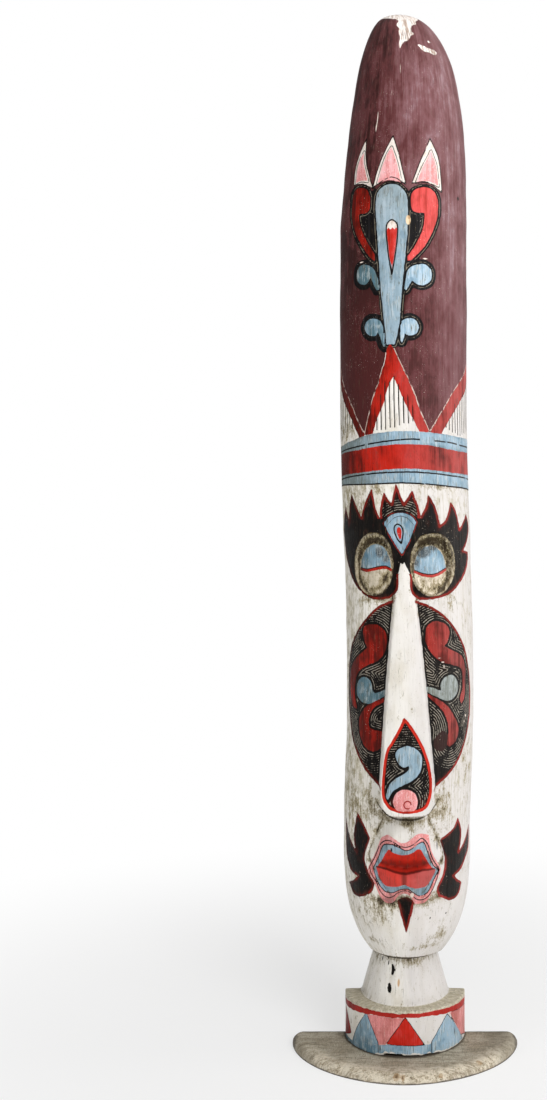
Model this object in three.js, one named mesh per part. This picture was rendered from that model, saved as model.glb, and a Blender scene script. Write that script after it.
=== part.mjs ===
// Painted wooden totem pole: a half-round log carved as a tall headdress, a mask
// face, a neck and a drum-shaped collar, standing on a half-oval plank.
// Millimetres, +Z up. The carved front faces -Y and the sawn flat back faces +Y.
// The origin is on the ground, at the middle of the plank's length and depth.

import * as THREE from 'three';
import { mergeVertices } from 'three/addons/utils/BufferGeometryUtils.js';

// ---------------------------------------------------------------- dimensions
const BACK_Y = 88;                 // plane of the sawn flat back

const PLANK = {
  halfWidth: 208, depth: 176, thickness: 18,
  planPower: 1.86,                 // roundness of the half-oval outline
  edgeRun: 17, edgeRise: 14,       // rounded-over upper edge
  tipRadius: 10,                   // rounded rear corners
  segments: 48,
};

const DRUM = { radius: 110.5, bottom: 18, top: 98 };
const NECK = { bottom: 99, top: 178, footHalf: 80, footDepth: 88, headHalf: 57.5, headDepth: 70 };

const LOG = { half: 117, depth: 117, swayTop: -3, swayMid: 9.5, swayLow: 3.6 };
const DOME = {
  top: 1898, apexX: -18, apexDepth: 0,
  leftStart: 1500, leftPower: 1.08, leftRoot: 0.316,
  rightStart: 1500, rightPower: 2.92, rightRoot: 0.388,
  depthStart: 1480, depthPower: 2.4, depthRoot: 0.45,
};
const JAW = {
  bottom: 180, lift: 6, liftFrom: 300,
  start: 664.5, end: 157.8, endHalf: 49.8, power: 9.14, root: 1.11,
  depthStart: 480, depthEnd: 165, endDepth: 80, depthPower: 3.5, depthRoot: 0.8,
};

const CHEEK = { bottom: 210, top: 930, setBack: 7, fade: 60 };
const NOSE = {
  top: 905, bottom: 441, tipTurn: 484, rootHalf: 11, tipHalf: 51.5,
  rootHeight: 1, tipHeight: 37, crown: 2.5, axisRoot: 0, axisTip: 4.5,
};
const EYES = [
  { x: -54, z: 880.5, ballX: -50.5, ballZ: 877.5 },
  { x: 49.5, z: 882, ballX: 47, ballZ: 877.5 },
];
const SOCKET = { halfWide: 35, halfTall: 55, depth: 14 };
const EYEBALL = { halfWide: 29.5, halfTall: 45, rise: 19 };
const MUZZLE = {
  x: 1.5, top: 440, wide: 368, bottom: 297,
  topHalf: 40, wideHalf: 70, bottomHalf: 24, height: 25, slope: 26,
};
const MOUTH = {
  x: 1, line: 357, cornerZ: 356, half: 56,
  upperPeak: 396, upperDip: 388, lowerPeak: 322, lowerNotch: 329, depth: 24,
};
const CHIN = { creaseZ: 286, creaseDepth: 4, ballZ: 236, ballHeight: 5 };

const COLUMNS = 40;                // round the half-log
const FACE_ROWS = 58, CREST_ROWS = 9, DOME_ROWS = 13, NECK_ROWS = 4;

// ------------------------------------------------------------ small functions
const clamp01 = (t) => Math.min(1, Math.max(0, t));
const smooth = (a, b, x) => { const t = clamp01((x - a) / (b - a)); return t * t * (3 - 2 * t); };
const mix = (a, b, t) => a + (b - a) * t;
const shoulder = (s, power, root) => Math.pow(Math.max(0, 1 - Math.pow(clamp01(s), power)), root);

// Plan section of the half-log at one height: centre, half-width, depth.
function logSection(z) {
  const sway = LOG.swayTop
    + (LOG.swayMid - LOG.swayTop) * smooth(1200, 680, z)
    + (LOG.swayLow - LOG.swayMid) * smooth(620, 400, z);
  let left = sway - LOG.half;
  let right = sway + LOG.half;
  let depth = LOG.depth;
  if (z > DOME.leftStart) {
    left = mix(DOME.apexX, left, shoulder((z - DOME.leftStart) / (DOME.top - DOME.leftStart), DOME.leftPower, DOME.leftRoot));
  }
  if (z > DOME.rightStart) {
    right = mix(DOME.apexX, right, shoulder((z - DOME.rightStart) / (DOME.top - DOME.rightStart), DOME.rightPower, DOME.rightRoot));
  }
  if (z > DOME.depthStart) {
    depth = LOG.depth * shoulder((z - DOME.depthStart) / (DOME.top - DOME.depthStart), DOME.depthPower, DOME.depthRoot);
  }
  if (z < JAW.start) {
    const jaw = mix(JAW.endHalf, LOG.half, shoulder((JAW.start - z) / (JAW.start - JAW.end), JAW.power, JAW.root));
    left = sway - jaw;
    right = sway + jaw;
  }
  if (z < JAW.depthStart) {
    depth = mix(JAW.endDepth, LOG.depth, shoulder((JAW.depthStart - z) / (JAW.depthStart - JAW.depthEnd), JAW.depthPower, JAW.depthRoot));
  }
  return { centre: (left + right) / 2, half: (right - left) / 2, depth };
}

// How far the mask's carving stands out of (+) or into (-) the half-log.
function cheekRelief(x, z) {
  return -CHEEK.setBack * smooth(CHEEK.bottom, CHEEK.bottom + CHEEK.fade, z)
    * smooth(CHEEK.top, CHEEK.top - CHEEK.fade, z) * smooth(105, 40, Math.abs(x - 5));
}

function noseRelief(x, z) {
  if (z > NOSE.top || z < NOSE.bottom) return 0;
  const t = (NOSE.top - z) / (NOSE.top - NOSE.bottom);
  const axis = mix(NOSE.axisRoot, NOSE.axisTip, t);
  let half = mix(NOSE.rootHalf, NOSE.tipHalf, t);
  if (z < NOSE.tipTurn) {
    half *= shoulder((NOSE.tipTurn - z) / (NOSE.tipTurn - NOSE.bottom), 2.6, 0.5);
  }
  const q = Math.abs(x - axis) / Math.max(half, 1e-6);
  const height = mix(NOSE.rootHeight, NOSE.tipHeight, Math.pow(t, 0.9));
  const underside = smooth(NOSE.bottom, NOSE.bottom + 10, z);
  const wall = 1 - smooth(0.8, 1.06, q);
  return wall * underside * (height + NOSE.crown * (1 - Math.min(q, 1) ** 2) + CHEEK.setBack * t);
}

function eyeRelief(x, z) {
  let relief = 0;
  for (const eye of EYES) {
    const s = Math.hypot((x - eye.x) / SOCKET.halfWide, (z - eye.z) / SOCKET.halfTall);
    if (s > 1.15) continue;
    relief -= SOCKET.depth * (1 - smooth(0.72, 1.08, s));
    const b = Math.hypot((x - eye.ballX) / EYEBALL.halfWide, (z - eye.ballZ) / EYEBALL.halfTall);
    if (b < 1) relief += EYEBALL.rise * Math.sqrt(1 - b * b);
  }
  return relief;
}

// Distance inside the six-sided outline of the muzzle pad.
function muzzleInside(x, z) {
  const u = Math.abs(x - MUZZLE.x);
  const side = (z0, h0, z1, h1) => {
    const len = Math.hypot(z1 - z0, h1 - h0);
    return (mix(h0, h1, (z - z0) / (z1 - z0)) - u) * Math.abs(z1 - z0) / len;
  };
  return Math.min(
    side(MUZZLE.top, MUZZLE.topHalf, MUZZLE.wide, MUZZLE.wideHalf),
    side(MUZZLE.wide, MUZZLE.wideHalf, MUZZLE.bottom, MUZZLE.bottomHalf),
    MUZZLE.top - z, z - MUZZLE.bottom);
}

function mouthRelief(x, z) {
  const pad = MUZZLE.height * smooth(0, MUZZLE.slope, muzzleInside(x, z));
  const u = (x - MOUTH.x) / MOUTH.half;
  if (Math.abs(u) >= 1) return pad;
  const open = Math.pow(1 - Math.abs(u) ** 2.2, 0.75);
  const bow = Math.exp(-((u / 0.22) ** 2));
  const upper = MOUTH.line + (mix(MOUTH.upperPeak, MOUTH.upperDip, bow) - MOUTH.line) * open;
  const lower = MOUTH.line - (MOUTH.line - mix(MOUTH.lowerPeak, MOUTH.lowerNotch, bow)) * open;
  if (z >= upper || z <= lower) return pad;
  const sink = z > MOUTH.line
    ? smooth(0, 1, (upper - z) / (upper - MOUTH.line)) ** 0.8
    : Math.pow((z - lower) / (MOUTH.line - lower), 2.2);
  return pad - MOUTH.depth * sink * (1 - Math.abs(u) ** 3);
}

function chinRelief(x, z) {
  const across = Math.exp(-(((x - 4) / 48) ** 2));
  return across * (CHIN.ballHeight * Math.exp(-(((z - CHIN.ballZ) / 28) ** 2))
    - CHIN.creaseDepth * Math.exp(-(((z - CHIN.creaseZ) / 13) ** 2)));
}

const relief = (x, z) => cheekRelief(x, z) + noseRelief(x, z) + eyeRelief(x, z)
  + mouthRelief(x, z) + chinRelief(x, z);

// --------------------------------------------------------------- carved pole
// Each row is one cross-section from the left back edge, round the front, to the
// right back edge.
function sectionRow(centre, half, depth, z, lift = 0, carved = false) {
  const row = [];
  for (let i = 0; i <= COLUMNS; i++) {
    const u = 2 * i / COLUMNS - 1;
    const angle = (0.82 * u + 0.18 * u ** 3) * Math.PI / 2;
    const onBack = i === 0 || i === COLUMNS;
    const c = onBack ? 0 : Math.cos(angle);
    const x = centre + half * (onBack ? Math.sign(u) : Math.sin(angle));
    const zz = z + lift * c;
    const out = carved ? relief(x, zz) * smooth(0, 0.35, c) : 0;
    row.push(new THREE.Vector3(x, BACK_Y - depth * c - out, zz));
  }
  return row;
}

function carvedPoleRows() {
  const rows = [
    sectionRow(0, DRUM.radius, DRUM.radius, DRUM.bottom),
    sectionRow(0, DRUM.radius, DRUM.radius, DRUM.top),
  ];
  for (let i = 0; i <= NECK_ROWS; i++) {
    const t = i / NECK_ROWS;
    rows.push(sectionRow(0, mix(NECK.footHalf, NECK.headHalf, t), mix(NECK.footDepth, NECK.headDepth, t),
      mix(NECK.bottom, NECK.top, t)));
  }
  const faceTop = 960;
  for (let i = 0; i <= FACE_ROWS; i++) {
    const z = mix(JAW.bottom, faceTop, i / FACE_ROWS);
    const s = logSection(z);
    rows.push(sectionRow(s.centre, s.half, s.depth, z, JAW.lift * smooth(JAW.liftFrom, JAW.bottom, z), true));
  }
  for (let i = 1; i <= CREST_ROWS; i++) {
    const z = mix(faceTop, DOME.leftStart, i / CREST_ROWS);
    const s = logSection(z);
    rows.push(sectionRow(s.centre, s.half, s.depth, z));
  }
  for (let i = 1; i < DOME_ROWS; i++) {
    const z = mix(DOME.leftStart, DOME.top, Math.sin(i / DOME_ROWS * Math.PI / 2) ** 0.9);
    const s = logSection(z);
    rows.push(sectionRow(s.centre, s.half, s.depth, z));
  }
  return rows;
}

function carvedPoleGeometry() {
  const rows = carvedPoleRows();
  const apex = new THREE.Vector3(DOME.apexX, BACK_Y, DOME.top);
  const points = rows.flat();
  points.push(apex);
  const n = COLUMNS + 1;
  const at = (r, i) => r * n + i;
  const index = [];
  for (let r = 0; r + 1 < rows.length; r++) {
    for (let i = 0; i < COLUMNS; i++) {
      const a = at(r, i), b = at(r, i + 1), c = at(r + 1, i + 1), d = at(r + 1, i);
      if (i < COLUMNS / 2) index.push(a, b, c, a, c, d);
      else index.push(a, b, d, b, c, d);
    }
    const a = at(r, 0), b = at(r, COLUMNS), c = at(r + 1, COLUMNS), d = at(r + 1, 0);
    index.push(a, c, b, a, d, c);                     // flat back
  }
  const last = rows.length - 1;
  for (let i = 0; i < COLUMNS; i++) index.push(at(last, i), at(last, i + 1), points.length - 1);
  index.push(at(last, COLUMNS), at(last, 0), points.length - 1);
  for (let i = 1; i < COLUMNS; i++) index.push(at(0, 0), at(0, i + 1), at(0, i));   // underside
  return meshFrom(points, index);
}

// --------------------------------------------------------------------- plank
function plankOutline(inset, z) {
  const a = PLANK.halfWidth - inset, b = PLANK.depth - inset;
  const row = [];
  for (let i = 0; i <= PLANK.segments; i++) {
    const angle = (i / PLANK.segments - 0.5) * Math.PI;
    const onBack = i === 0 || i === PLANK.segments;
    const c = onBack ? 0 : Math.cos(angle), s = onBack ? Math.sign(angle) : Math.sin(angle);
    const d = b * Math.pow(Math.abs(c), 2 / PLANK.planPower);
    const tip = Math.max(0, 1 - d / PLANK.tipRadius);
    const x = a * Math.sign(s) * Math.pow(Math.abs(s), 2 / PLANK.planPower)
      - Math.sign(s) * PLANK.tipRadius * 0.35 * tip * tip;
    row.push(new THREE.Vector3(x, BACK_Y - d, z));
  }
  return row;
}

function plankGeometry() {
  const rows = [plankOutline(0, 0)];
  const steps = 5;
  for (let i = 0; i <= steps; i++) {
    const angle = i / steps * Math.PI / 2;
    rows.push(plankOutline(PLANK.edgeRun * (1 - Math.cos(angle)),
      PLANK.thickness - PLANK.edgeRise + PLANK.edgeRise * Math.sin(angle)));
  }
  const points = rows.flat();
  const n = PLANK.segments + 1;
  const at = (r, i) => r * n + i;
  const index = [];
  for (let r = 0; r + 1 < rows.length; r++) {
    for (let i = 0; i < PLANK.segments; i++) {
      index.push(at(r, i), at(r, i + 1), at(r + 1, i + 1), at(r, i), at(r + 1, i + 1), at(r + 1, i));
    }
    index.push(at(r, 0), at(r + 1, n - 1), at(r, n - 1), at(r, 0), at(r + 1, 0), at(r + 1, n - 1));
  }
  const top = rows.length - 1;
  for (let i = 1; i < PLANK.segments; i++) {
    index.push(at(0, 0), at(0, i + 1), at(0, i));
    index.push(at(top, 0), at(top, i), at(top, i + 1));
  }
  return meshFrom(points, index);
}

function meshFrom(points, index) {
  const position = new Float32Array(points.length * 3);
  points.forEach((p, i) => p.toArray(position, i * 3));
  let geometry = new THREE.BufferGeometry();
  geometry.setAttribute('position', new THREE.BufferAttribute(position, 3));
  geometry.setIndex(index);
  geometry = mergeVertices(geometry, 1e-4);
  geometry.computeVertexNormals();
  return geometry;
}

// --------------------------------------------------------------------- group
const pole = new THREE.Mesh(carvedPoleGeometry(),
  new THREE.MeshStandardMaterial({ color: 0xd8d0c2, roughness: 0.45, metalness: 0 }));
pole.name = 'carved_pole';

const plank = new THREE.Mesh(plankGeometry(),
  new THREE.MeshStandardMaterial({ color: 0xa39a8c, roughness: 0.75, metalness: 0 }));
plank.name = 'base_plank';

const totem = new THREE.Group();
totem.name = 'totem_pole';
totem.add(pole, plank);

export default totem;
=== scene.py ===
"""Looks of the painted totem pole: a dense carved mesh with painted ornament laid out as
signed distances in the unrolled surface, the plank it stands on, lights and camera."""
import math

import bpy
import numpy as np
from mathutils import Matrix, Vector


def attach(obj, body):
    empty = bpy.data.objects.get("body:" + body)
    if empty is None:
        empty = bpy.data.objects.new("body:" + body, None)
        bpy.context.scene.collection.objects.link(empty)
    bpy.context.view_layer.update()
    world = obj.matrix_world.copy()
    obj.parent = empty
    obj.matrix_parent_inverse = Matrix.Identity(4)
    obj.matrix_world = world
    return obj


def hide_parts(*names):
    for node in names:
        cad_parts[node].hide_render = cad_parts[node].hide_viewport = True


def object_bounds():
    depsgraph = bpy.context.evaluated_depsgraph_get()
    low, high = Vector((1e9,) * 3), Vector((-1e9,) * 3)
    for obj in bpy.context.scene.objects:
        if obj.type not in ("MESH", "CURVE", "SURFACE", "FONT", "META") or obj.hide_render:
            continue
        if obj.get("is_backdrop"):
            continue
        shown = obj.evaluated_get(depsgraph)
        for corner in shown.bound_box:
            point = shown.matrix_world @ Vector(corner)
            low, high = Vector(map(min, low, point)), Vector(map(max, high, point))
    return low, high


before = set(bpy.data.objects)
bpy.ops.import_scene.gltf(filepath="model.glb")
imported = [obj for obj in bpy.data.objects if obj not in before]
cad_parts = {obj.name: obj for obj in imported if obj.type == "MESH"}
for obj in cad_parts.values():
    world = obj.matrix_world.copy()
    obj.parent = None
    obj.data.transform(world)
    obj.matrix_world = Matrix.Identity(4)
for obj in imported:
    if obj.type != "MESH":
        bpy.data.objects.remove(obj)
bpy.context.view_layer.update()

# ======================================================================= carved form
# Millimetres, in the CAD's frame: +Z up, the front faces -Y, the flat back is y = BACK.
# SURFACE-BEGIN
BACK = 88.0
R0 = 117.0                     # unrolled width of the half-log: s = R0 * angle

DRUM_R, DRUM_LOW, DRUM_TOP = 110.5, 18.0, 98.0
NECK_LOW, NECK_TOP = 99.0, 178.0
NECK_HALF, NECK_DEPTH = (80.0, 57.5), (88.0, 70.0)
DOME_TOP, DOME_X = 1898.0, -18.0
JAW_LOW, FACE_TOP = 180.0, 960.0
NOSE_TOP, NOSE_LOW, NOSE_TURN = 905.0, 441.0, 484.0
EYES = ((-55.5, 883.0, 33.5, 55.0, -52.0, 876.5, 29.5, 46.0),
        (49.5, 882.5, 38.0, 55.0, 44.5, 873.5, 30.5, 45.5))


def smooth(a, b, x):
    t = np.clip((x - a) / (b - a), 0.0, 1.0)
    return t * t * (3.0 - 2.0 * t)


def mix(a, b, t):
    return a + (b - a) * t


def shoulder(s, power, root):
    return np.maximum(0.0, 1.0 - np.clip(s, 0, 1) ** power) ** root


def log_section(z):
    """Centre, half-width and depth of the half-log at height z."""
    z = np.asarray(z, float)
    sway = -3.0 + 12.5 * smooth(1200, 680, z) - 5.9 * smooth(620, 400, z)
    left, right = sway - 117.0, sway + 117.0
    left = np.where(z > 1500, mix(DOME_X, left, shoulder((z - 1500) / (DOME_TOP - 1500), 1.08, 0.316)), left)
    right = np.where(z > 1500, mix(DOME_X, right, shoulder((z - 1500) / (DOME_TOP - 1500), 2.92, 0.388)), right)
    depth = np.where(z > 1480, 117.0 * shoulder((z - 1480) / (DOME_TOP - 1480), 2.4, 0.45), 117.0)
    jaw = mix(49.8, 117.0, shoulder((664.5 - z) / (664.5 - 157.8), 9.14, 1.11))
    left = np.where(z < 664.5, sway - jaw, left)
    right = np.where(z < 664.5, sway + jaw, right)
    depth = np.where(z < 480, mix(80.0, 117.0, shoulder((480.0 - z) / 315.0, 3.5, 0.8)), depth)
    return (left + right) / 2, (right - left) / 2, depth


def nose_frame(x, z):
    """How far down the nose (0 to 1), and how far from its axis (1 at its edge)."""
    t = np.clip((NOSE_TOP - z) / (NOSE_TOP - NOSE_LOW), 0, 1)
    axis = -1.4 + 5.8 * t
    half = mix(10.5, 51.5, t) + 12.0 * t * (1 - t)
    half = half * np.where(z < NOSE_TURN, shoulder((NOSE_TURN - z) / (NOSE_TURN - NOSE_LOW), 2.8, 0.5), 1.0)
    return t, (x - axis) / np.maximum(half, 1e-3), half


def muzzle_inside(x, z):
    """Distance inside the six-sided muzzle pad."""
    u = np.abs(x - 1.5)

    def side(z0, h0, z1, h1):
        n = math.hypot(z1 - z0, h1 - h0)
        return (mix(h0, h1, (z - z0) / (z1 - z0)) - u) * abs(z1 - z0) / n
    parts = (side(440.0, 42.0, 371.0, 70.5), side(371.0, 70.5, 297.0, 26.0),
             side(371.0, 70.5, 440.0, 42.0), 446.0 - z, z - 296.0)
    k = 5.0                                   # rounds the corners of the outline
    return -k * np.log(sum(np.exp(-p / k) for p in parts))


def mouth_frame(x, z):
    """0 at the rim of the mouth's hollow, 1 along the dark line between the lips."""
    u = np.clip((x - 1.0) / 56.0, -1, 1)
    opened = (1.0 - np.abs(u) ** 2.2) ** 0.75
    bow = np.exp(-((u / 0.25) ** 2))
    low_bow = np.exp(-((u / 0.20) ** 2))
    line = 352.5 + 9.0 * np.abs(u) ** 1.6 - 3.0 * (1 - np.abs(u)) ** 2 * 0.5
    upper = line + (mix(394.0, 386.0, bow) - line) * opened
    lower = line - (line - mix(321.0, 327.0, low_bow)) * opened
    up = np.clip((upper - z) / np.maximum(upper - line, 1e-3), 0, 1)
    down = np.clip((z - lower) / np.maximum(line - lower, 1e-3), 0, 1)
    inside = (z < upper) & (z > lower) & (np.abs(u) < 1)
    return np.where(inside, np.where(z > line, up, 0.0), 0.0), np.where(inside, np.where(z <= line, down, 0.0), 0.0), u


def relief(x, z):
    """How far the mask's carving stands out of (+) or into (-) the half-log."""
    x = np.asarray(x, float); z = np.asarray(z, float)
    out = -7.0 * smooth(210, 270, z) * smooth(935, 860, z) * smooth(108, 45, np.abs(x - 5))
    # nose
    t, q, half = nose_frame(x, z)
    live = (z < NOSE_TOP) & (z > NOSE_LOW)
    aq = np.abs(q)
    edge = np.clip((aq - 1.0) * half, -60, 60)             # mm outside the edge
    wall = 1.0 - smooth(-3.4, 2.4, edge)
    height = mix(1.5, 37.0, t ** 0.9) + 7.0 * t + 2.6 * (1 - np.minimum(aq, 1) ** 2)
    under = smooth(NOSE_LOW, NOSE_LOW + 9, z)
    out = out + np.where(live, wall * under * height, 0.0)
    # hollows beside the nostrils
    for sx in (-1, 1):
        out = out - 4.0 * np.exp(-(((x - 4 - sx * 62) / 16) ** 2) - (((z - 470) / 34) ** 2))
    # eye sockets and eyeballs
    for sx, sz, sw, sh, bx, bz, bw, bh in EYES:
        s = np.hypot((x - sx) / sw, (z - sz) / sh)
        out = out - 11.5 * (1.0 - smooth(0.74, 1.06, s)) * (1.0 + 0.25 * smooth(sz - 10, sz + 45, z))
        b = np.hypot((x - bx) / bw, (z - bz) / bh)
        out = out + 18.0 * np.sqrt(np.maximum(0.0, 1.0 - b * b))
    # muzzle pad, lips and mouth
    d = muzzle_inside(x, z)
    out = out + 26.0 * smooth(-3, 30, d) * smooth(-6, 6, d) ** 0.4
    up, down, u = mouth_frame(x, z)
    taper = 1.0 - np.abs(u) ** 3
    out = out - 23.0 * (smooth(0, 1, up) ** 0.75) * taper - 23.0 * down ** 2.4 * taper
    out = out + 3.0 * np.exp(-(((z - 318) / 9) ** 2)) * (np.exp(-(((x - 22) / 17) ** 2)) + np.exp(-(((x + 22) / 17) ** 2)))
    # chin
    across = np.exp(-(((x - 4) / 48) ** 2))
    out = out + across * (5.0 * np.exp(-(((z - 238) / 28) ** 2)) - 5.0 * np.exp(-(((z - 285) / 11) ** 2)))
    return out


def jaw_lift(z):
    return 6.0 * smooth(300, JAW_LOW, z)
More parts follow.
